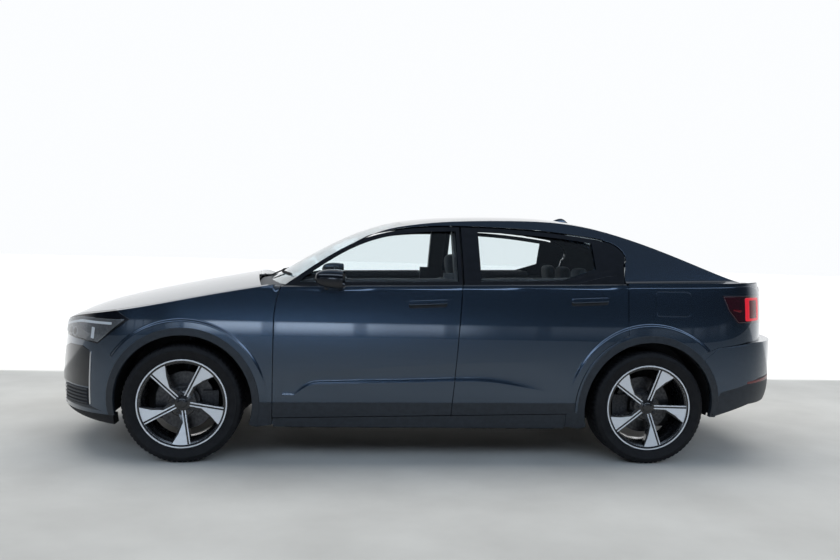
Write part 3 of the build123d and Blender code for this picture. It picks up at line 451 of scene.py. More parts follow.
def panel(name, outline, place, mat, body, gap=14.0, holes=(), extra=(), roll=2.5, skirt=12.0, flip=False,
          mirror=False, slotName=None):
    # outline, holes: corner points in the sheet's own two coordinates; place: sheet point to millimetres
    loops = []
    for index, loop in enumerate([outline, *holes]):
        ring = resample(list(loop), gap)
        wanted = 1 if index == 0 else -1
        if area(ring) * wanted < 0:
            ring = ring[::-1]
        push = outward(ring)
        loops.append((ring - push * roll, push))
    low, high = loops[0][0].min(0), loops[0][0].max(0)
    us = np.arange(low[0], high[0], gap)
    vs = np.arange(low[1], high[1], gap)
    grid = np.array([(u + (gap / 2 if j % 2 else 0), v) for j, v in enumerate(vs) for u in us])
    if len(extra):
        extra = np.array(extra)
        grid = np.concatenate([grid[nearest(grid, extra) > gap * 0.45], extra])
    keep = inside(grid, loops[0][0])
    for ring, _ in loops[1:]:
        keep &= ~inside(grid, ring)
    grid = grid[keep]
    for ring, _ in loops:
        grid = grid[nearest(grid, ring) > gap * 0.4]
    points = np.concatenate([ring for ring, _ in loops] + [grid])
    edges, first = [], 0
    for ring, _ in loops:
        edges += [(first + i, first + (i + 1) % len(ring)) for i in range(len(ring))]
        first += len(ring)
    flat, _, faces, source, *_ = delaunay_2d_cdt([Vector(p) for p in points], edges, [], 0, 1e-4)
    flat = np.array([tuple(p) for p in flat])
    origin = {}
    for new, old in enumerate(source):
        for o in old:
            origin[o] = new
    middle = np.array([flat[list(f)].mean(0) for f in faces])
    keep = inside(middle, loops[0][0])
    for ring, _ in loops[1:]:
        keep &= ~inside(middle, ring)
    faces = [tuple(f) for f, k in zip(faces, keep) if k]

    def frameAt(u, v):
        p = np.array(place(u, v))
        alongU = np.array(place(u + 0.5, v)) - np.array(place(u - 0.5, v))
        alongV = np.array(place(u, v + 0.5)) - np.array(place(u, v - 0.5))
        normal = np.cross(alongU, alongV)
        normal /= max(np.linalg.norm(normal), 1e-9)
        return p, alongU, alongV, -normal if flip else normal

    verts, normals = [], []
    for u, v in flat:
        p, _, _, n = frameAt(u, v)
        verts.append(p)
        normals.append(n)
    for start, (ring, push) in zip(np.cumsum([0] + [len(r) for r, _ in loops[:-1]]), loops):
        last = [origin[start + i] for i in range(len(ring))]
        info = [frameAt(*flat[k]) for k in last]
        for turn, drop in ((30, 0), (60, 0), (90, 0), (90, skirt)):
            s, c = sin(radians(turn)), cos(radians(turn))
            ringNow = []
            for (p, alongU, alongV, n), way in zip(info, push):
                out = alongU * way[0] + alongV * way[1]
                out -= n * float(out @ n)
                out /= max(np.linalg.norm(out), 1e-9)
                ringNow.append(len(verts))
                verts.append(p + out * roll * s - n * (roll * (1 - c) + drop))
                normals.append(out * s + n * c)
            count = len(last)
            for i in range(count):
                j = (i + 1) % count
                faces.append((last[j], last[i], ringNow[i], ringNow[j]))
            last = ringNow
    data = np.array(verts) / 1000
    shade = np.array(normals)
    if mirror:
        data[:, 1] *= -1
        shade[:, 1] *= -1
    mesh = newMesh(name, data.tolist(), [f[::-1] for f in faces] if flip != mirror else faces, [mat])
    mesh.normals_split_custom_set_from_vertices(shade.tolist())
    obj = newObject(name, mesh)
    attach(obj, body)
    return obj


# Side panels over the doors, wings and rear quarters
bothSides = ((False, "left"), (True, "right"))


def pair(name, outline, place, mat, body, slotName, gap=14.0, roll=2.5, skirt=12.0, flip=True, **more):
    # the same panel on both sides; a body name that ends with an underscore takes the side's name
    for mirror, side in bothSides:
        rides = body + side if body.endswith("_") else body
        panel(f"{name}_{side}", outline, place, mat, rides, gap, roll=roll, skirt=skirt, flip=flip,
              mirror=mirror, slotName=slotName, **more)


def onSide(lift):
    return lambda x, z: (x, sideY(x, z) + proud + lift, z)


def bEdge(z, offset):
    return bLine(z) + offset, z


def arcRun(x, radius, start, stop, count, z=hubZ):
    return [(x + radius * cos(radians(a)), z + radius * sin(radians(a)))
            for a in spread(start, stop, count)]


archRadius = 398.0
doorArch = archRadius + 54
doorGap = 2.5  # half of a shut gap
doorTop = 6  # the door skins reach this far over the shoulder
wingShut, quarterShut = frontAxle - 507, rearAxle + 145  # the doors' front and rear shut lines
middleX = -110  # the doors meet near here
sillLine = 216.0
archFoot = degrees(asin((sillLine - hubZ) / archRadius))


def frontDoorLow(top):
    front = wingShut - doorGap
    curve = [(front - 38 * t ** 2.2, 800 + (shoulder(front) + top - 800) * t) for t in spread(0, 1, 9)]
    return [bEdge(doorFoot(middleX), doorGap), (front, doorFoot(front)), *curve,
            bEdge(shoulder(middleX) + top, doorGap)]


def rearDoorLow(top):
    radius = doorArch + doorGap
    foot = doorFoot(rearAxle + doorArch)
    start = degrees(asin((foot - hubZ) / radius))
    edge = quarterShut + doorGap
    stop = degrees(acos((edge - rearAxle) / radius))
    return [bEdge(doorFoot(middleX), -doorGap), *arcRun(rearAxle, radius, start, stop, 22),
            (edge, shoulder(edge) + top), bEdge(shoulder(middleX) + top, -doorGap)]


creasePoints = []  # finer mesh along the hollow's edges and the arch flares
for x in spread(-830, 880, 172):
    creasePoints += [(x, hollowTop(x) + d) for d in (-24, -12, 0, 8)]
    creasePoints += [(x, hollowCrest(min(x, hollow["crestEnd"])) + d) for d in (-6, 0, 4, 8, 13, 18)]
for axle, key in ((frontAxle, "front"), (rearAxle, "rear")):
    radius = flare[key][0]
    for a in spread(-20, 200, 190):
        c, n = cos(radians(a)), sin(radians(a))
        creasePoints += [(axle + (radius + d) * c, hubZ + (radius + d) * n) for d in (3, -2, -6, -10, -15, -20)]

for key, outline in (("front", frontDoorLow(doorTop)), ("rear", rearDoorLow(doorTop))):
    pair(f"doorSkin_{key}", outline, onSide(0.0), paint, f"door_{key}_", "body_paint", 15, extra=creasePoints)
print("door skins made")


def hoodLine(x):
    y = 850.0
    for _ in range(6):
        y = flank(x, hoodTop(x, y))
    return hoodTop(x, y)


def wingOutline():
    edge = wingShut + doorGap
    lamp = [(frontAxle + 298 + 152 * t, 812 + 88 * t) for t in spread(0, 1, 40)]
    lamp = [p for p in lamp if p[1] < hoodLine(p[0]) - 2]
    ridge = [(x, hoodLine(x) - 1) for x in spread(lamp[-1][0], edge - 34, 30)]
    back = [(edge - 38 * t ** 2.2, 800 + (hoodLine(edge) - 800) * t) for t in spread(0.96, 0, 9)]
    arch = arcRun(frontAxle, archRadius + 4, 180 - archFoot, 32, 60)
    return [(edge, sillLine), *arch, (frontAxle + 490, 665), *lamp, *ridge, *back]


def zRail(x):
    return roofTop(x, railY(x))


flapX, flapZ = (rearAxle - 238, rearAxle - 23), (890.0, 1035.0)


def roundBox(x, z, radius, grow=0.0):
    out = []
    x0, x1, z0, z1 = x[0] - grow, x[1] + grow, z[0] - grow, z[1] + grow
    for cx, cz, start in ((x1, z1, 0), (x0, z1, 90), (x0, z0, 180), (x1, z0, 270)):
        ox = cx - radius if cx == x1 else cx + radius
        oz = cz - radius if cz == z1 else cz + radius
        out += arcRun(ox, radius, start, start + 90, 7, oz)
    return out


tailEdge = -2128.0


def quarterOutline():
    edge = quarterShut - doorGap
    arch = arcRun(rearAxle, archRadius + 4, archFoot, 130.5, 60)
    top = [(x, zRail(x) - 3) for x in spread(tailEdge, rearAxle + 240, 50)]
    pillar = fromAxle(rearAxle, (236, 1336), (190, 1322), (153, 1302), (124, 1272), (108, 1240), (112, 1210),
                      (122, 1180), (134, 1120))
    radius = doorArch - doorGap
    stop = degrees(acos((edge - rearAxle) / radius))
    start = degrees(asin((doorFoot(rearAxle + doorArch) - hubZ) / radius))
    return [*arch, *fromAxle(rearAxle, (-260, 642), (-412, 706), (-690, 737)), (tailEdge, 737),
            (tailEdge, 850), *fromAxle(rearAxle, (-555, 850), (-486, 928), (-447, 1017)), (tailEdge, 1017),
            *top, *pillar, (edge, shoulder(edge) + 8), *arcRun(rearAxle, radius, stop, start, 40),
            *fromAxle(rearAxle, (500, 294), (500, sillLine))]


shoulderPoints = [(x, shoulder(x) + d) for x in spread(tailEdge, -1100, 86)
                  for d in (-20, -14, -8, -2, 4, 10, 16, 22, 28)]


def cladTop(x):
    return 358 - 0.006 * x


def clad(name, outline, body, gap, roll=3, skirt=10):
    pair(name, outline, onSide(3.0), cladding, body, "dark_cladding", gap, roll, skirt)


pair("wingSkin", wingOutline(), onSide(0.0), paint, "body", "body_paint", 16, extra=creasePoints)
for mirror, side in bothSides:
    flapHole = [] if mirror else [roundBox(flapX, flapZ, 26, 2.2)]
    panel(f"quarterSkin_{side}", quarterOutline(), onSide(0.0), paint, "body", 15, holes=flapHole,
          extra=creasePoints + shoulderPoints, flip=True, mirror=mirror, slotName="body_paint")
for key, axle, start, stop in (("front", frontAxle, -11.5, 180 - archFoot), ("rear", rearAxle, archFoot, 188)):
    ring = arcRun(axle, 395, start, stop, 70) + arcRun(axle, 435, stop, start, 70)
    clad(f"archBand_{key}", ring, "body", 12, 4, 14)
clad("wingClad", [(wingShut + doorGap, sillLine), *arcRun(frontAxle, 436, 180 - archFoot, 178, 8),
                  (wingShut + doorGap, cladTop(930))], "body", 12)
clad("quarterClad", [*arcRun(rearAxle, 436, archFoot, -4.5, 6), (rearAxle + 449, 304), (rearAxle + 503, 294),
                     (rearAxle + 503, sillLine)], "body", 12)
front = wingShut - doorGap
clad("doorClad_front", [bEdge(doorFoot(middleX), doorGap), (front, doorFoot(front)), (front, cladTop(front)),
                        bEdge(cladTop(middleX), doorGap)], "door_front_", 14)
arc = [p for p in arcRun(rearAxle, doorArch + doorGap, -4.9, 6, 8) if p[1] < cladTop(p[0])]
clad("doorClad_rear", [bEdge(doorFoot(middleX), -doorGap), bEdge(cladTop(middleX), -doorGap),
                       (arc[-1][0], cladTop(arc[-1][0])), *arc[::-1]], "door_rear_", 14)
panel("flapSkin", roundBox(flapX, flapZ, 24, -1.8), onSide(0.0), paint, "charge_flap", 14, flip=True, roll=2,
      skirt=5, slotName="body_paint")
print("side panels made")


# Solids that show several finishes, split by where their faces lie
def split(name, mats, rule):
    mesh = nodes[name].data
    mesh.materials.clear()
    for mat in mats:
        mesh.materials.append(mat)
    picks = []
    for face in mesh.polygons:
        c, n = face.center * 1000, face.normal
        # the ledge under the windows takes the last finish
        shelf = n.z > 0.75 and abs(c.z - shoulder(c.x)) < 14
        picks.append(len(mats) - 1 if shelf else rule(c.x, abs(c.y), c.z, n.y * (1 if c.y > 0 else -1)))
    mesh.polygons.foreach_set("material_index", picks)


def doorRule(x, y, z, out):
    if z > shoulder(x) + 2:
        return 1 if out > 0.5 else 3
    return 2 if y < halfBreadth(z) - 45 or out < -0.5 else 0


def bodyRule(x, y, z, out):
    if z > shoulder(x) + 2:
        if x < -900 and z < 1180 and abs(out) < 0.5:
            return 3
        return 2 if out < -0.3 or y < glassSide(x, z) - 30 and z < zRail(x) - 25 else 0
    return 2 if y < flank(x, z) - 30 else 0


def glassRule(x, y, z, out):
    return 0 if abs(out) > 0.6 else 1


for corner in corners:
    split(f"glass_{corner}", [sideGlass, sealRubber], glassRule)
    split(f"door_{corner}", [paint, glossBlack, cabinTrim, sealRubber], doorRule)
split("body_sides", [paint, glossBlack, cabinTrim, sealRubber], bodyRule)


# Window strips and handles
def onGlass(lift):
    return lambda x, z: (x, glassSide(x, z) + lift, z)


handle = dict(front=(43.0, 936.0), rear=(-920.0, 967.0), length=224.0, height=46.0, drop=0.055)


def handleOutline(key, length, height, radius, dz=0.0):
    cx, cz = handle[key]
    box = roundBox((cx - length / 2, cx + length / 2), (cz - height / 2 + dz, cz + height / 2 + dz), radius)
    return [(x, z - handle["drop"] * (x - cx)) for x, z in box]


bWindow = bLine(1200)
frontBack, rearFront = bWindow + 10, bWindow - 4
frontEnds = ((frontAxle - 560, 6), (frontAxle - 585, 24), (frontBack, 24), (frontBack, 4))
frontStrip = [(x, shoulder(x) + rise) for x, rise in frontEnds]
rearStrip = [(x, shoulder(x) + 24 + 60 * ease(rearAxle + 560, rearAxle + 190, x))
             for x in spread(rearFront, rearAxle + 190, 18)]
rearStrip += [(x, shoulder(x) + 5 + 52 * ease(rearAxle + 520, rearAxle + 150, x))
              for x in spread(rearAxle + 190, rearFront, 18)]
for key, strip, gap in (("front", frontStrip, 16), ("rear", rearStrip, 14)):
    rides = f"door_{key}_"
    pair(f"waistStrip_{key}", strip, onGlass(2.0), glossBlack, rides, "gloss_black", gap, 2, 6)
    cup = handleOutline(key, handle["length"], handle["height"], 14)
    pair(f"handleCup_{key}", cup, onSide(0.6), underPlastic, rides, "gloss_black", 10, 1.5, 4)
    grip = handleOutline(key, handle["length"] - 4, 25, 10, 9)
    pair(f"handleGrip_{key}", grip, onSide(13), paint, rides, "body_paint", 8, 6, 5)
print("window strips and handles made")


# Lamps, front panel and rear marks, laid on the nose and the tail
turnScale = 10.0  # sheet units per degree round the nose or the tail


def onNose(lift):
    return lambda u, z: (*nosePoint(max(u / turnScale, 0.01), z, lift), z)


def onTail(lift, step=tailStep):
    return lambda u, z: (*tailPoint(max(u / turnScale, 0.01), z, lift, step), z)


def onTailWide(lift, step):
    # both halves of the tail in one sheet, with the sign of the turn for the side
    def place(u, z):
        x, y = tailPoint(abs(u) / turnScale, z, lift, step)
        return x, copysign(y, u), z
    return place


def bothHalves(half):
    return half + [(-u, z) for u, z in half[::-1]]


def noseTurn(x, z):
    share = min(max((x - noseCentre) / (noseReach(z) - noseCentre), 0.0), 1.0)
    return degrees(acos(share ** (nosePower / 2))) * turnScale


def tailTurn(x, z, step=tailStep):
    share = min(max((x - tailCentre) / (tailReach(z, step) - tailCentre), 0.0), 1.0)
    return degrees(acos(share ** (tailPower / 2))) * turnScale


def turnAtY(y, z, side):
    return degrees(asin(min(y / halfBreadth(z), 1.0) ** (side / 2))) * turnScale


headLamp = dict(inner=440.0, foot=696.0, tip=812.0, eyes=3)


def lampTop(u):
    low, high = 700.0, 860.0
    for _ in range(24):
        mid = (low + high) / 2
        x, y = nosePoint(u / turnScale, mid)
        low, high = (mid, high) if hoodTop(x, y) > mid else (low, mid)
    return min(low - 8, headLamp["tip"])


lampStart = turnAtY(headLamp["inner"], 720, noseSide)


def lampOutline(inset):
    start = lampStart + inset
    tip = (noseTurn(frontAxle + 302, headLamp["tip"]) - inset * 2.5, headLamp["tip"] - 1 - inset * 0.2)
    top = [(u, lampTop(u) - inset) for u in spread(tip[0] - 30, start, 18)]
    foot = [(start, headLamp["foot"] + inset), (noseTurn(frontAxle + 603, 676), 678 + inset),
            (noseTurn(frontAxle + 492, 667), 667 + inset)]
    return [tip, *top, *foot]


def nosePair(name, outline, lift, mat, slotName, gap, roll, skirt, **more):
    pair(name, outline, onNose(lift), mat, "body", slotName, gap, roll, skirt, flip=False, **more)


def tailPair(name, outline, lift, mat, gap, roll, skirt, step=tailStep, **more):
    pair(name, outline, onTail(lift, step), mat, "body", "lamp_red", gap, roll, skirt, **more)


def oval(u, z, halfU, halfZ):
    return [(u + halfU * cos(a), z + halfZ * sin(a)) for a in spread(0, 2 * pi, 25)[:-1]]


nosePair("lampBowl", lampOutline(6), 0.8, lampInner, "gloss_black", 12, 2, 4)
lightBar = [(u, lampTop(u) - 22) for u in spread(lampStart + 30, noseTurn(frontAxle + 400, 800), 16)]
lightBar += [(u, z - 13) for u, z in lightBar[::-1]]
nosePair("lampBar", lightBar, 3.0, lampWhite, "lamp_clear", 8, 2, 4)
nosePair("lampCover", lampOutline(3), 6.0, lampLens, "lamp_clear", 12, 4, 4)
hook = noseTurn(frontAxle + 520, 740)
nosePair("lampHook", [(hook - 9, 692), (hook + 9, 690), (hook + 9, 752), (hook - 9, 756)], 3.0, lampWhite,
         "lamp_clear", 8, 2, 4)
for k in range(headLamp["eyes"]):
    mid, height = lampStart + 55 + 50 * k, 722 - 3 * k
    eye = oval(mid, height, 20, 22)
    nosePair(f"lampEye{k}", eye, 2.6, glossBlack, "gloss_black", 7, 3, 3)
    nosePair(f"lampRing{k}", oval(mid, height, 24, 26), 2.0, brightTrim, "gloss_black", 7, 1, 3, holes=[eye])
# painted highlight: a bright metal strip standing in for the highlight along the dark panel's outer edge
nosePair("noseEdgeHighlight", [(576, 306), (584, 306), (582, 612), (574, 612)], 2.8, brightTrim, "alloy", 8, 1.2, 4)
cheek = [(572, 408), (570, 618), (520, 640), (380, 636), (300, 606), (262, 470), (290, 408)]
nosePair("noseCheek", cheek, 1.8, glossBlack, "gloss_black", 12, 3, 5)
lip = [(340, 257), (340, 298), (572, 298), (610, 284), (668, 262), (700, 257)]
nosePair("noseLip", lip, 2.0, cladding, "dark_cladding", 12, 2, 5)
duct = [(572, 298), (572, 398), (372, 398), (352, 298)]
nosePair("noseDuct", duct, 1.2, underPlastic, "gloss_black", 12, 2, 5)
for k in range(5):
    z = 306 + 20 * k
    slat = [(566, z), (566, z + 8), (372 - 2 * k, z + 8), (370 - 2 * k, z)]
    nosePair(f"noseSlat{k}", slat, 6, cladding, "gloss_black", 9, 2.5, 6)

ringLow, ringHigh = 490.0, 640.0
slot = (ringHigh - ringLow) * 0.22
heart = roundBox((ringLow + slot, ringHigh - slot), (878, 990), 8)
tailPair("tailRing", roundBox((ringLow, ringHigh), (864, 1004), 12), 3.2, redGlow, 7, 2.5, 5, holes=[heart])
tailPair("tailHeart", heart, 2.4, redLens, 7, 1, 3)
lens = [(tailTurn(x, z), z) for x, z in fromAxle(rearAxle, (-452, 1012), (-490, 928), (-558, 856))]
lens += [(ringLow - 90, 856), (ringLow - 90, 1012)]
tailPair("tailLens", lens, 1.4, smokedRed, 12, 3, 5)
beam = [(ringHigh + 30, 930), (tailTurn(rearAxle - 520, 930), 936), (tailTurn(rearAxle - 524, 924), 926),
        (ringHigh + 30, 918)]
tailPair("tailBeam", beam, 3.0, redLens, 7, 1.5, 3)
tailPair("rearReflector", [(430, 516), (430, 494), (665, 482), (665, 494)], 2.4, redLens, 8, 2, 4, step=0.0)

bumperEdge = [(rearAxle - 690, 733), (rearAxle - 412, 702), *arcRun(rearAxle, 438, 138, 171, 10),
              (rearAxle - 445, 437), (rearAxle - 741, 518)]
bumper = bothHalves([(150, 733), *[(tailTurn(x, z, 0.0), z) for x, z in bumperEdge], (150, 532)])
panel("rearBumperSkin", bumper, onTailWide(proud, 0.0), paint, "body", 14, roll=2.5, skirt=6, flip=True,
      slotName="body_paint")
for name, low, high, lift, mat, slotName, gap, roll, skirt in (
        ("hatchTailLow", (366, 747), (368, 943), proud, paint, "body_paint", 14, 2, 6),
        ("hatchTailHigh", (367, 1007), (367, 1046), proud, paint, "body_paint", 12, 2, 6),
        ("lightBarLens", (362, 951), (362, 999), proud, smokedRed, "lamp_red", 12, 3, 5),
        ("lightBarGlow", (355, 969), (355, 981), proud + 1.6, redGlow, "lamp_red", 9, 2, 3)):
    panel(name, bothHalves([low, high]), onTailWide(lift, tailStep), mat, "hatch", gap, roll=roll, skirt=skirt,
          flip=True, slotName=slotName)
print("lamps made")


# Seats, cabin trims, mirrors and the aerial fin
def solidPiece(name, verts, faces, mats, mirror=False, picks=None, sharp=40):
    data = np.array(verts, float) / 1000
    if mirror:
        data[:, 1] *= -1
    mesh = newMesh(name, data.tolist(), [f[::-1] for f in faces] if mirror else faces, mats)
    if picks is not None:
        mesh.polygons.foreach_set("material_index", picks)
    mesh.set_sharp_from_angle(angle=radians(sharp))
    return newObject(name, mesh)


def joined(parts, name):
    first = parts[0]
    with bpy.context.temp_override(active_object=first, object=first, selected_objects=parts,
                                   selected_editable_objects=parts):
        bpy.ops.object.join()
    first.name = name
    first.data.name = name
    return first


def pillow(size, centre, lean, channels=(), depth=9.0, power=4.2, cuts=26, mats=None):
    # crowned closed pad; lean: degrees about Y; channels: sewn lines across Y, as shares of the half width
    bm = bmesh.new()
    bmesh.ops.create_cube(bm, size=2)
    bmesh.ops.subdivide_edges(bm, edges=bm.edges[:], cuts=cuts, use_grid_fill=True)
    half = [v / 2 for v in size]
    c, sn = cos(radians(lean)), sin(radians(lean))
    verts = []
    for v in bm.verts:
        p = v.co / sum(abs(q) ** power for q in v.co) ** (1 / power)
        groove = sum(exp(-((p.y - k) / 0.035) ** 2) for k in channels)
        edge = 1 - exp(-((1 - abs(p.y)) / 0.12) ** 2)
        x, y, z = p.x * half[0], p.y * half[1], p.z * half[2]
        thin = min(range(3), key=lambda i: size[i])
        drop = depth * groove * edge
        if thin == 0:
            x -= copysign(drop, x)
        else:
            z -= copysign(drop, z)
        verts.append((centre[0] + c * x + sn * z, centre[1] + y, centre[2] - sn * x + c * z))
    bm.verts.index_update()
    faces = [tuple(v.index for v in f.verts) for f in bm.faces]
    bm.free()
    return solidPiece("pad", verts, faces, mats or [seatCloth], sharp=80)


def rounded(a, power):
    # point at angle a on a circle drawn out towards a square
    return [copysign(abs(v) ** power, v) for v in (cos(a), sin(a))]


def bar(name, path, half, mats, mirror=False, power=3.0, around=20):
    # rod of rounded section along a path in millimetres, closed at both ends
    path = [np.array(q, float) for q in path]
    verts, faces = [], []
    last = len(path) - 1
    for i, q in enumerate(path):
        way = path[min(i + 1, last)] - path[max(i - 1, 0)]
        way /= np.linalg.norm(way)
        flat = np.cross((0, 0, 1), way)
        flat /= max(np.linalg.norm(flat), 1e-9)
        top = np.cross(way, flat)
        scale = 0.55 if i in (0, last) else 1.0
        for k in range(around):
            u, v = rounded(2 * pi * k / around, 2 / power)
            verts.append(q + flat * (u * half[0] * scale) + top * (v * half[1] * scale))
    for i in range(last):
        for k in range(around):
            n = (k + 1) % around
            faces.append((i * around + k, i * around + n, (i + 1) * around + n, (i + 1) * around + k))
    faces.append(tuple(range(around))[::-1])
    faces.append(tuple(last * around + k for k in range(around)))
    return solidPiece(name, verts, faces, mats, mirror, sharp=55)


def headPosts(x, y, gap, low, high):
    # low, high: shift in x and height of the posts' ends
    for offset in (-gap, gap):
        run = [(x + dx, y + offset, z) for dx, z in (low, high)]
        frameParts.append(bar("post", run, (7, 7), [brightTrim], power=2.0, around=12))


sewn = (-0.5, 0, 0.5)  # channels in the pads, as shares of the half width
bolstered = dict(power=3.4, cuts=14)
headRest = dict(power=3.2, cuts=16)
boxed = dict(power=9, cuts=10, mats=[cabinTrim])
frontSeat = dict(y=370.0, cushion=(520, 330, 150), back=(130, 330, 560), bolster=105.0, head=(92, 250, 150))
rearBench = dict(cushion=(370, 400, 150), back=(95, 400, 520), head=(74, 236, 112), places=(-410, 0, 410))
seatParts, frameParts = [], []
for way in (1, -1):
    y = frontSeat["y"] * way
    seatParts += [pillow(frontSeat["cushion"], (75, y, 500), -8, sewn),
                  pillow(frontSeat["back"], (-222, y, 765), 194, sewn)]
    wide = frontSeat["bolster"]
    for offset in (-200, 200):
        seatParts += [pillow((500, wide, 165), (70, y + offset, 503), -8, **bolstered),
                      pillow((150, wide, 500), (-212, y + offset * 0.98, 760), 194, **bolstered)]
    seatParts.append(pillow(frontSeat["head"], (-258, y, 1142), 187, **headRest))
    headPosts(-265, y, 55, (0, 1000), (3, 1100))
    frameParts.append(pillow((430, 440, 130), (65, y, 350), 0, **boxed))
seats = joined(seatParts, "frontSeatPads")
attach(seats, "body")
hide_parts("front_seats")
seatParts = []
for y in rearBench["places"]:
    seatParts += [pillow(rearBench["cushion"], (-590, y, 487), 4, sewn),
                  pillow(rearBench["back"], (-885, y, 780), 205, sewn),
                  pillow(rearBench["head"], (-996, y, 1098), 187, **headRest)]
    headPosts(-985, y, 50, (0, 990), (-13, 1070))
frameParts.append(pillow((340, 1040, 150), (-640, 0, 340), 0, **boxed))
bench = joined(seatParts, "rearBenchPads")
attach(bench, "body")
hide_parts("rear_seat")
seatFrames = joined(frameParts, "seatFrames")
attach(seatFrames, "body")

doorMirror = dict(x=615.0, y=936.0, z=1068.0, length=164.0, width=112.0, height=112.0)


def mirrorPiece(m, side, mirror):
    around, along = 40, 18
    verts, faces, picks = [], [], []
    front = m["x"] + m["length"] / 2
    rings = []
    for i in range(along):
        t = i / (along - 1)
        swell = (1 - (1 - min(t / 0.75, 1.0)) ** 2.4) ** (1 / 2.4)
        rings.append((front - t * m["length"], max(swell, 0.04) * (1.0 - 0.05 * ease(0.75, 1.0, t))))
    rear = front - m["length"]
    rings += [(rear - 1, 0.93), (rear + 2, 0.88), (rear + 12, 0.86)]
    for x, size in rings:
        for k in range(around):
            y, z = rounded(2 * pi * k / around, 0.72)
            y *= m["width"] / 2 * size
            z *= m["height"] / 2 * size
            verts.append((x + 0.16 * y, m["y"] + y, m["z"] + z + 0.04 * (x - m["x"])))
    for i in range(len(rings) - 1):
        for k in range(around):
            n = (k + 1) % around
            faces.append((i * around + k, (i + 1) * around + k, (i + 1) * around + n, i * around + n))
            upper = 3 < k < around / 2 - 3
            picks.append(0 if upper and i < along - 1 else 1)
    faces.append(tuple(range(around)))
    picks.append(1)
    faces.append(tuple((len(rings) - 1) * around + k for k in range(around))[::-1])
    picks.append(2)
    shell = solidPiece("mirrorShell", verts, faces, [paint, glossBlack, mirrorGlass], mirror, picks)
    foot = shoulder(640)
    stem = [(648, 872, foot + 4), (644, 880, foot + 22), (632, 905, m["z"] - 34), (628, 912, m["z"] - 18)]
    stalk = bar("mirrorStalk", stem, (17, 30), [glossBlack], mirror)
    piece = joined([shell, stalk], f"mirrorDressed_{side}")
    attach(piece, f"door_front_{side}")
    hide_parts(f"mirror_{side}")


liningRadius = 405.0


def onArch(axle, way):
    def place(u, y):
        a = radians(u / turnScale)
        return axle + way * liningRadius * cos(a), y, hubZ + liningRadius * sin(a)
    return place


def onWall(y):
    return lambda x, z: (x, y, z)


def finPiece(f):
    around, verts, faces = 24, [], []
    rings = 22
    for i in range(rings):
        t = i / (rings - 1)
        x = f["front"] - t * f["length"]
        tall = f["height"] * sin(pi * (0.02 + 0.96 * t) ** 1.5) ** 0.75
        wide = f["width"] / 2 * sin(pi * (0.02 + 0.96 * t) ** 0.8) ** 0.6
        for k in range(around):
            a = pi * k / (around - 1)
            verts.append((x, wide * cos(a), roofTop(x, 0) - 3 + tall * sin(a) ** 0.8))
    for i in range(rings - 1):
        faces += [(i * around + k, (i + 1) * around + k, (i + 1) * around + k + 1, i * around + k + 1)
                  for k in range(around - 1)]
    faces.append(tuple(range(around)))
    faces.append(tuple((rings - 1) * around + k for k in range(around))[::-1])
    fin = solidPiece("aerialFin", verts, faces, [paint])
    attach(fin, "body")


finPiece(dict(front=-890.0, length=134.0, height=40.0, width=46.0))


def screenRun(fromY, toY, up, lift, count=14):
    # points on the windscreen, a little way up from its foot
    run = []
    for y in spread(fromY, toY, count):
        x = frontAxle - 423 - 2.6e-4 * y * y - up
        run.append((x, y, roofTop(x, y) + lift))
    return run


for key, fromY, toY, pivot in (("near", 30, 610, 80), ("far", -570, -10, -520)):
    blade = bar("wiperBlade", screenRun(fromY, toY, 70, 9), (3.5, 8), [underPlastic], around=10)
    tip = screenRun((fromY + toY) / 2, pivot, 0, 16, 8)
    arm = []
    for k, (x, y, _) in enumerate(tip):
        x -= 70 * (1 - k / 7)
        arm.append((x, y, roofTop(x, y) + 20))
    stem = bar("wiperArm", arm, (8, 4.5), [glossBlack], around=10)
    wiper = joined([blade, stem], f"wiper_{key}")
    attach(wiper, "body")

for key, axle, way, low, reach, inner in (("front", frontAxle, 1, -100, 800, 470),
                                          ("rear", rearAxle, -1, -60, 886, 596)):
    lining = [(low, 560), (300, 560), (300, reach), (low, reach)]
    pair(f"archWall_{key}", lining, onArch(axle, way), underPlastic, "body", "chassis_plastic", 24, 1.5, 6,
         flip=way < 0)
    wall = fromAxle(axle, (-385, 290), (-230, 165), (230, 165), (385, 290), (385, 620), (-385, 620))
    pair(f"archInner_{key}", wall, onWall(inner), underPlastic, "body", "chassis_plastic", 40, 1.5, 4)
for mirror, side in bothSides:
    mirrorPiece(doorMirror, side, mirror)
    for key, first, final in (("front", bWindow + 40, frontAxle - 640),
                              ("rear", rearAxle + 380, bWindow - 40)):
        path = [(x, glassSide(x, shoulder(x) + 20) - 46, shoulder(x) + 14) for x in spread(first, final, 12)]
        top = bar(f"doorTop_{key}_{side}", path, (22, 30), [cabinTrim], mirror)
        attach(top, f"door_{key}_{side}")
print("seats, cabin trims and mirrors made")


# Wheels and tyres, made once about the hub and used at each corner
def spunFaces(count, segments):
    # quads between neighbouring copies of a profile of count points
    faces = []
    for i in range(segments):
        here, there = i * count, (i + 1) % segments * count
        faces += [(here + j, here + j + 1, there + j + 1, there + j) for j in range(count - 1)]
    return faces


def lathe(name, profile, mat, segments=160):
    # profile: radius and offset along the axle, in millimetres
    verts = []
    for i in range(segments):
        a = 2 * pi * i / segments
        verts += [(r * cos(a) / 1000, y / 1000, r * sin(a) / 1000) for r, y in profile]
    mesh = newMesh(name, verts, spunFaces(len(profile), segments), [mat])
    mesh.set_sharp_from_angle(angle=radians(32))
    return newObject(name, mesh)


tyre = dict(segments=288, radius=338.0, grooves=((-46, -38), (-9, -1), (30, 38)), grooveDepth=7.0, sipeEvery=4,
            sipeDepth=5.0, slitDepth=2.2)


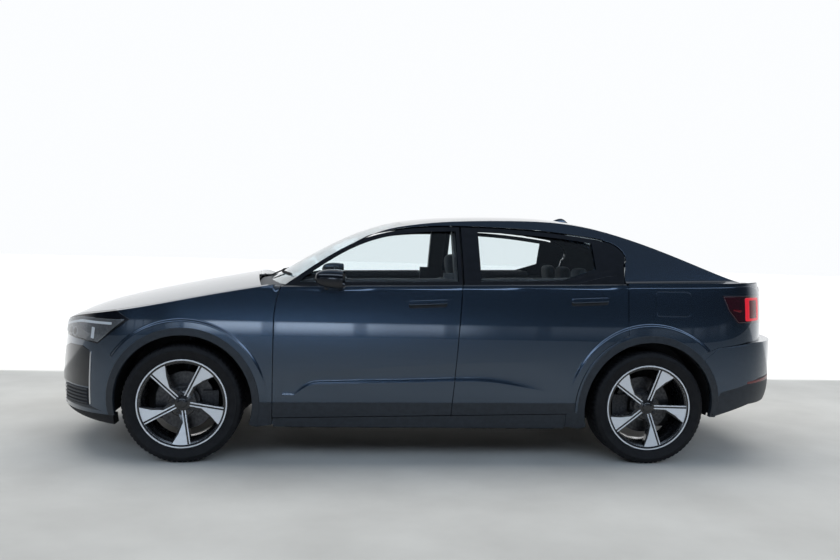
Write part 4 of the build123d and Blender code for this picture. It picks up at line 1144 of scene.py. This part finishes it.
def tyreMesh(t):
    side = [(250, 103), (256, 109), (262, 111.5), (264, 114.5), (269, 115.5), (270.5, 114), (284, 119),
            (300, 122), (303, 123.2), (307, 123.2), (309, 121.2), (320, 117), (327, 113.5), (332.5, 107.5),
            (336, 100)]
    crown, floor = t["radius"], t["radius"] - t["grooveDepth"]
    tread = [(crown - 0.8, 92), (crown, 84), (crown, 62)]
    for low, high in t["grooves"][::-1]:
        tread += [(crown, high + 0.6), (floor, high - 1.2), (floor, low + 1.2), (crown, low - 0.6)]
    tread += [(crown, -62), (crown, -84), (crown - 0.8, -92)]
    profile = side + tread + [(r, -y) for r, y in side[::-1]]
    shoulderCols = [j for j, (r, y) in enumerate(profile) if r > 331 and 60 < abs(y) < 108]
    blockCols = [j for j, (r, y) in enumerate(profile) if r > 337.9 and abs(y) <= 62]
    verts = []
    for i in range(t["segments"]):
        a = 2 * pi * i / t["segments"]
        phase = i % t["sipeEvery"]
        for j, (r, y) in enumerate(profile):
            if phase == 0 and j in shoulderCols:
                r -= t["sipeDepth"]
            if i % (t["sipeEvery"] * 2) == 1 and j in blockCols:
                r -= t["slitDepth"]
            swing = a + 0.00045 * y * (1 if y > 0 else -1) if r > 325 else a
            verts.append((r * cos(swing) / 1000, y / 1000, r * sin(swing) / 1000))
    mesh = newMesh("tyre", verts, spunFaces(len(profile), t["segments"]), [rubber])
    mesh.set_sharp_from_angle(angle=radians(38))
    return mesh


wheelFace = dict(arms=5, hub=80.0, rim=100.0, lineWidth=6.0, grooveWidth=11.0, bladeSweep=20.0, bladeTip=112.0,
                 armFoot=44.0, lineEnd=237.0)


def faceDepth(r):
    w = wheelFace
    return w["hub"] + (w["rim"] - w["hub"]) * min(max((r - 50) / 190, 0), 1) ** 0.8


def onWheel(lift):
    return lambda u, v: (u, faceDepth(hypot(u, v)) + lift, v)


def polar(r, a):
    # seen from outside on the left, angles run anticlockwise
    return -r * cos(radians(a)), r * sin(radians(a))


def besideArm(r, offset, turn):
    # a point at radius r, beside the arm's middle line
    a = turn + degrees(asin(offset / r))
    return polar(r, a)


def wheelMesh(w):
    barrel = [(236, 106), (244, 109), (252, 109), (252, 101), (243, 97), (230, 92), (222, 60), (214, 20),
              (214, -60), (232, -95), (250, -100), (250, -108), (243, -108)]
    rimLine = [(236, 103), (237.5, 106.5), (244, 108.6), (252, 109.8), (254, 109.2), (254, 104)]
    hubCap = [(0.5, 92), (14, 92), (23, 91), (27, 88.5), (28, 85), (28, 60)]
    hubFace = [(26, 84), (30, 82.5), (62, 80), (76, 78), (80, 74), (80, 40)]
    boltHead = [(0.5, 88), (7, 88), (9, 86), (9.5, 80), (9.5, 70)]
    parts = [lathe("rimBarrel", barrel, darkAlloy), lathe("rimLine", rimLine, brightAlloy),
             lathe("hubCap", hubCap, darkAlloy, 60), lathe("hubFace", hubFace, darkAlloy, 90)]
    half, line, foot, end = w["grooveWidth"] / 2, w["lineWidth"], w["armFoot"], w["lineEnd"]

    def sheet(name, outline, lift, mat, gap, roll, skirt):
        parts.append(panel(name, outline, onWheel(lift), mat, "body", gap, roll=roll, skirt=skirt, flip=True))

    for i in range(w["arms"]):
        turn = 360 / w["arms"] * i
        outer = [polar(end + 1, a) for a in spread(turn - w["bladeSweep"] - 2.6, turn + 3.1, 8)]
        arm = [besideArm(66, half + line, turn), besideArm(66, -half - line - 20, turn),
               polar(w["bladeTip"], turn - 10.5), *outer]
        sheet("armBody", arm, 0, darkAlloy, 12, 3, 34)
        strip = [besideArm(foot, half, turn), besideArm(foot, half + line, turn),
                 besideArm(end, half + line, turn), besideArm(end, half, turn)]
        sheet("armLine", strip, 3.2, brightAlloy, 12, 1, 4)
        blade = [besideArm(foot, -half, turn), besideArm(foot, -half - line, turn),
                 besideArm(w["bladeTip"], -half - line - 1, turn), polar(176, turn - 15.2),
                 *[polar(end, a) for a in spread(turn - w["bladeSweep"] - 2, turn - 1.7, 7)],
                 besideArm(end, -half, turn)]
        sheet("armBlade", blade, 3.2, brightAlloy, 10, 1.2, 5)
        bolt = lathe("wheelBolt", boltHead, castMetal, 24)
        x, z = polar(54, turn + 36)
        bolt.data.transform(Matrix.Translation((x / 1000, 0, z / 1000)))
        parts.append(bolt)
    return joined(parts, "wheelMaster")


tyreShape = tyreMesh(tyre)
master = wheelMesh(wheelFace)
master.parent = None
wheelTurns = dict(front=64.0, rear=0.0)
for axle, x in (("front", frontAxle), ("rear", rearAxle)):
    for mirror, side in bothSides:
        way = -1 if mirror else 1
        body = f"wheel_{axle}_{side}"
        turn = Matrix.Rotation(radians(wheelTurns[axle]), 4, "Y")
        if mirror:
            turn = Matrix.Rotation(pi, 4, "Z") @ turn
        for kind, mesh, slotName in (("wheel", master.data, "alloy"), ("tyre", tyreShape, "tyre")):
            turned = mesh.copy()
            turned.transform(turn)
            piece = newObject(f"{kind}Dressed_{axle}_{side}", turned)
            piece.matrix_world = Matrix.Translation((x / 1000, way * hubY / 1000, hubZ / 1000))
            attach(piece, body)
            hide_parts(f"{kind}_{axle}_{side}")
bpy.data.objects.remove(master)
print("wheels and tyres made")


# Floor, room and light
def makeStudio():
    mesh = bpy.data.meshes.new("studioFloor")
    bm = bmesh.new()
    bmesh.ops.create_circle(bm, cap_ends=True, radius=60, segments=96)
    bm.to_mesh(mesh)
    bm.free()
    floor = newObject("studioFloor", mesh)
    pale = newFinish("paleFloor", ((1.3, 6.0), (0.47, 0.455, 0.42), (0.55, 0.535, 0.495)), (5, 0.6, 0.75),
                     Emission_Color=(1, 1, 1))
    across = addNode(pale, "ShaderNodeSeparateXYZ")
    wire(pale, objectPlace(pale), across.inputs[0])
    fade = smoothRange(pale, across.outputs["Y"], -2.35, -2.6, 0.0, 0.74)  # white backdrop behind the car
    wire(pale, fade, shader(pale).inputs["Emission Strength"])
    mesh.materials.append(pale)
    world = bpy.data.worlds.new("softRoom")
    world.use_nodes = True
    bpy.context.scene.world = world
    coords = addNode(world, "ShaderNodeTexCoord")
    axes = addNode(world, "ShaderNodeSeparateXYZ")
    wire(world, coords.outputs["Generated"], axes.inputs[0])

    def ramp(axis, *ends):
        return smoothRange(world, axes.outputs[axis], *ends)

    def combine(kind, first, *others):
        for other in others:
            node = addNode(world, "ShaderNodeMath", operation=kind)
            wire(world, first, node.inputs[0])
            wire(world, other, node.inputs[1])
            first = node.outputs["Value"]
        return first

    def ripple(pitch, *ends):
        times = addNode(world, "ShaderNodeMath", operation="MULTIPLY")
        times.inputs[1].default_value = pitch
        wire(world, axes.outputs["X"], times.inputs[0])
        sine = addNode(world, "ShaderNodeMath", operation="SINE")
        wire(world, times.outputs["Value"], sine.inputs[0])
        return smoothRange(world, sine.outputs["Value"], *ends)

    # bright backdrop on the far side, calm room on the near side
    room = combine("MULTIPLY", ramp("Y", -0.42, 0.06, 1.0, 0.04), ramp("Z", 0.33, 0.62, 1.0, 0.3))
    sky = ramp("Z", 0.3, 0.95, 0.0, 0.22)
    # low windows with bars on the near side, and upper windows
    band = combine("MULTIPLY", ramp("Z", -0.02, 0.05, 0.0, 1.0), ramp("Z", 0.055, 0.07, 1.0, 0.0),
                   ramp("Y", 0.5, 0.8, 0.0, 7.0), ripple(58.0, -0.98, -0.8, 0.35, 1.0),
                   ripple(13.0, -0.9, 0.1, 0.45, 1.0), ramp("X", -0.2, -0.12, 0.08, 1.0),
                   ramp("X", 0.14, 0.2, 1.0, 0.2))
    high = combine("MULTIPLY", ramp("Z", 0.38, 0.46, 0.0, 1.0), ramp("Z", 0.63, 0.68, 1.0, 0.0),
                   ramp("Y", 0.2, 0.4, 0.0, 3.0))
    back = world.node_tree.nodes["Background"]
    tone = addNode(world, "ShaderNodeMix", data_type="RGBA")  # the near side of the room is cooler
    fill(tone, A=(0.97, 0.985, 1.0, 1.0), B=(0.72, 0.88, 1.1, 1.0))
    wire(world, ramp("Y", -0.3, 0.2, 0.0, 1.0), tone.inputs["Factor"])
    wire(world, tone.outputs["Result"], back.inputs["Color"])
    wire(world, combine("ADD", room, sky, band, high), back.inputs["Strength"])


def softBox(name, place, aim, size, energy):
    data = bpy.data.lights.new(name, "AREA")
    data.shape = "RECTANGLE"
    data.size, data.size_y = size
    data.energy = energy
    lamp = newObject(name, data)
    lamp.location = place
    lamp.rotation_euler = (Vector(aim) - Vector(place)).to_track_quat("-Z", "Y").to_euler()
    lamp.visible_camera = False
    lamp.visible_glossy = False


makeStudio()
softBox("ceilingLight", (0, -1.2, 7), (0, 0.6, 0), (13, 5), 620)
bpy.context.scene.view_settings.view_transform = "Standard"
print("studio made")
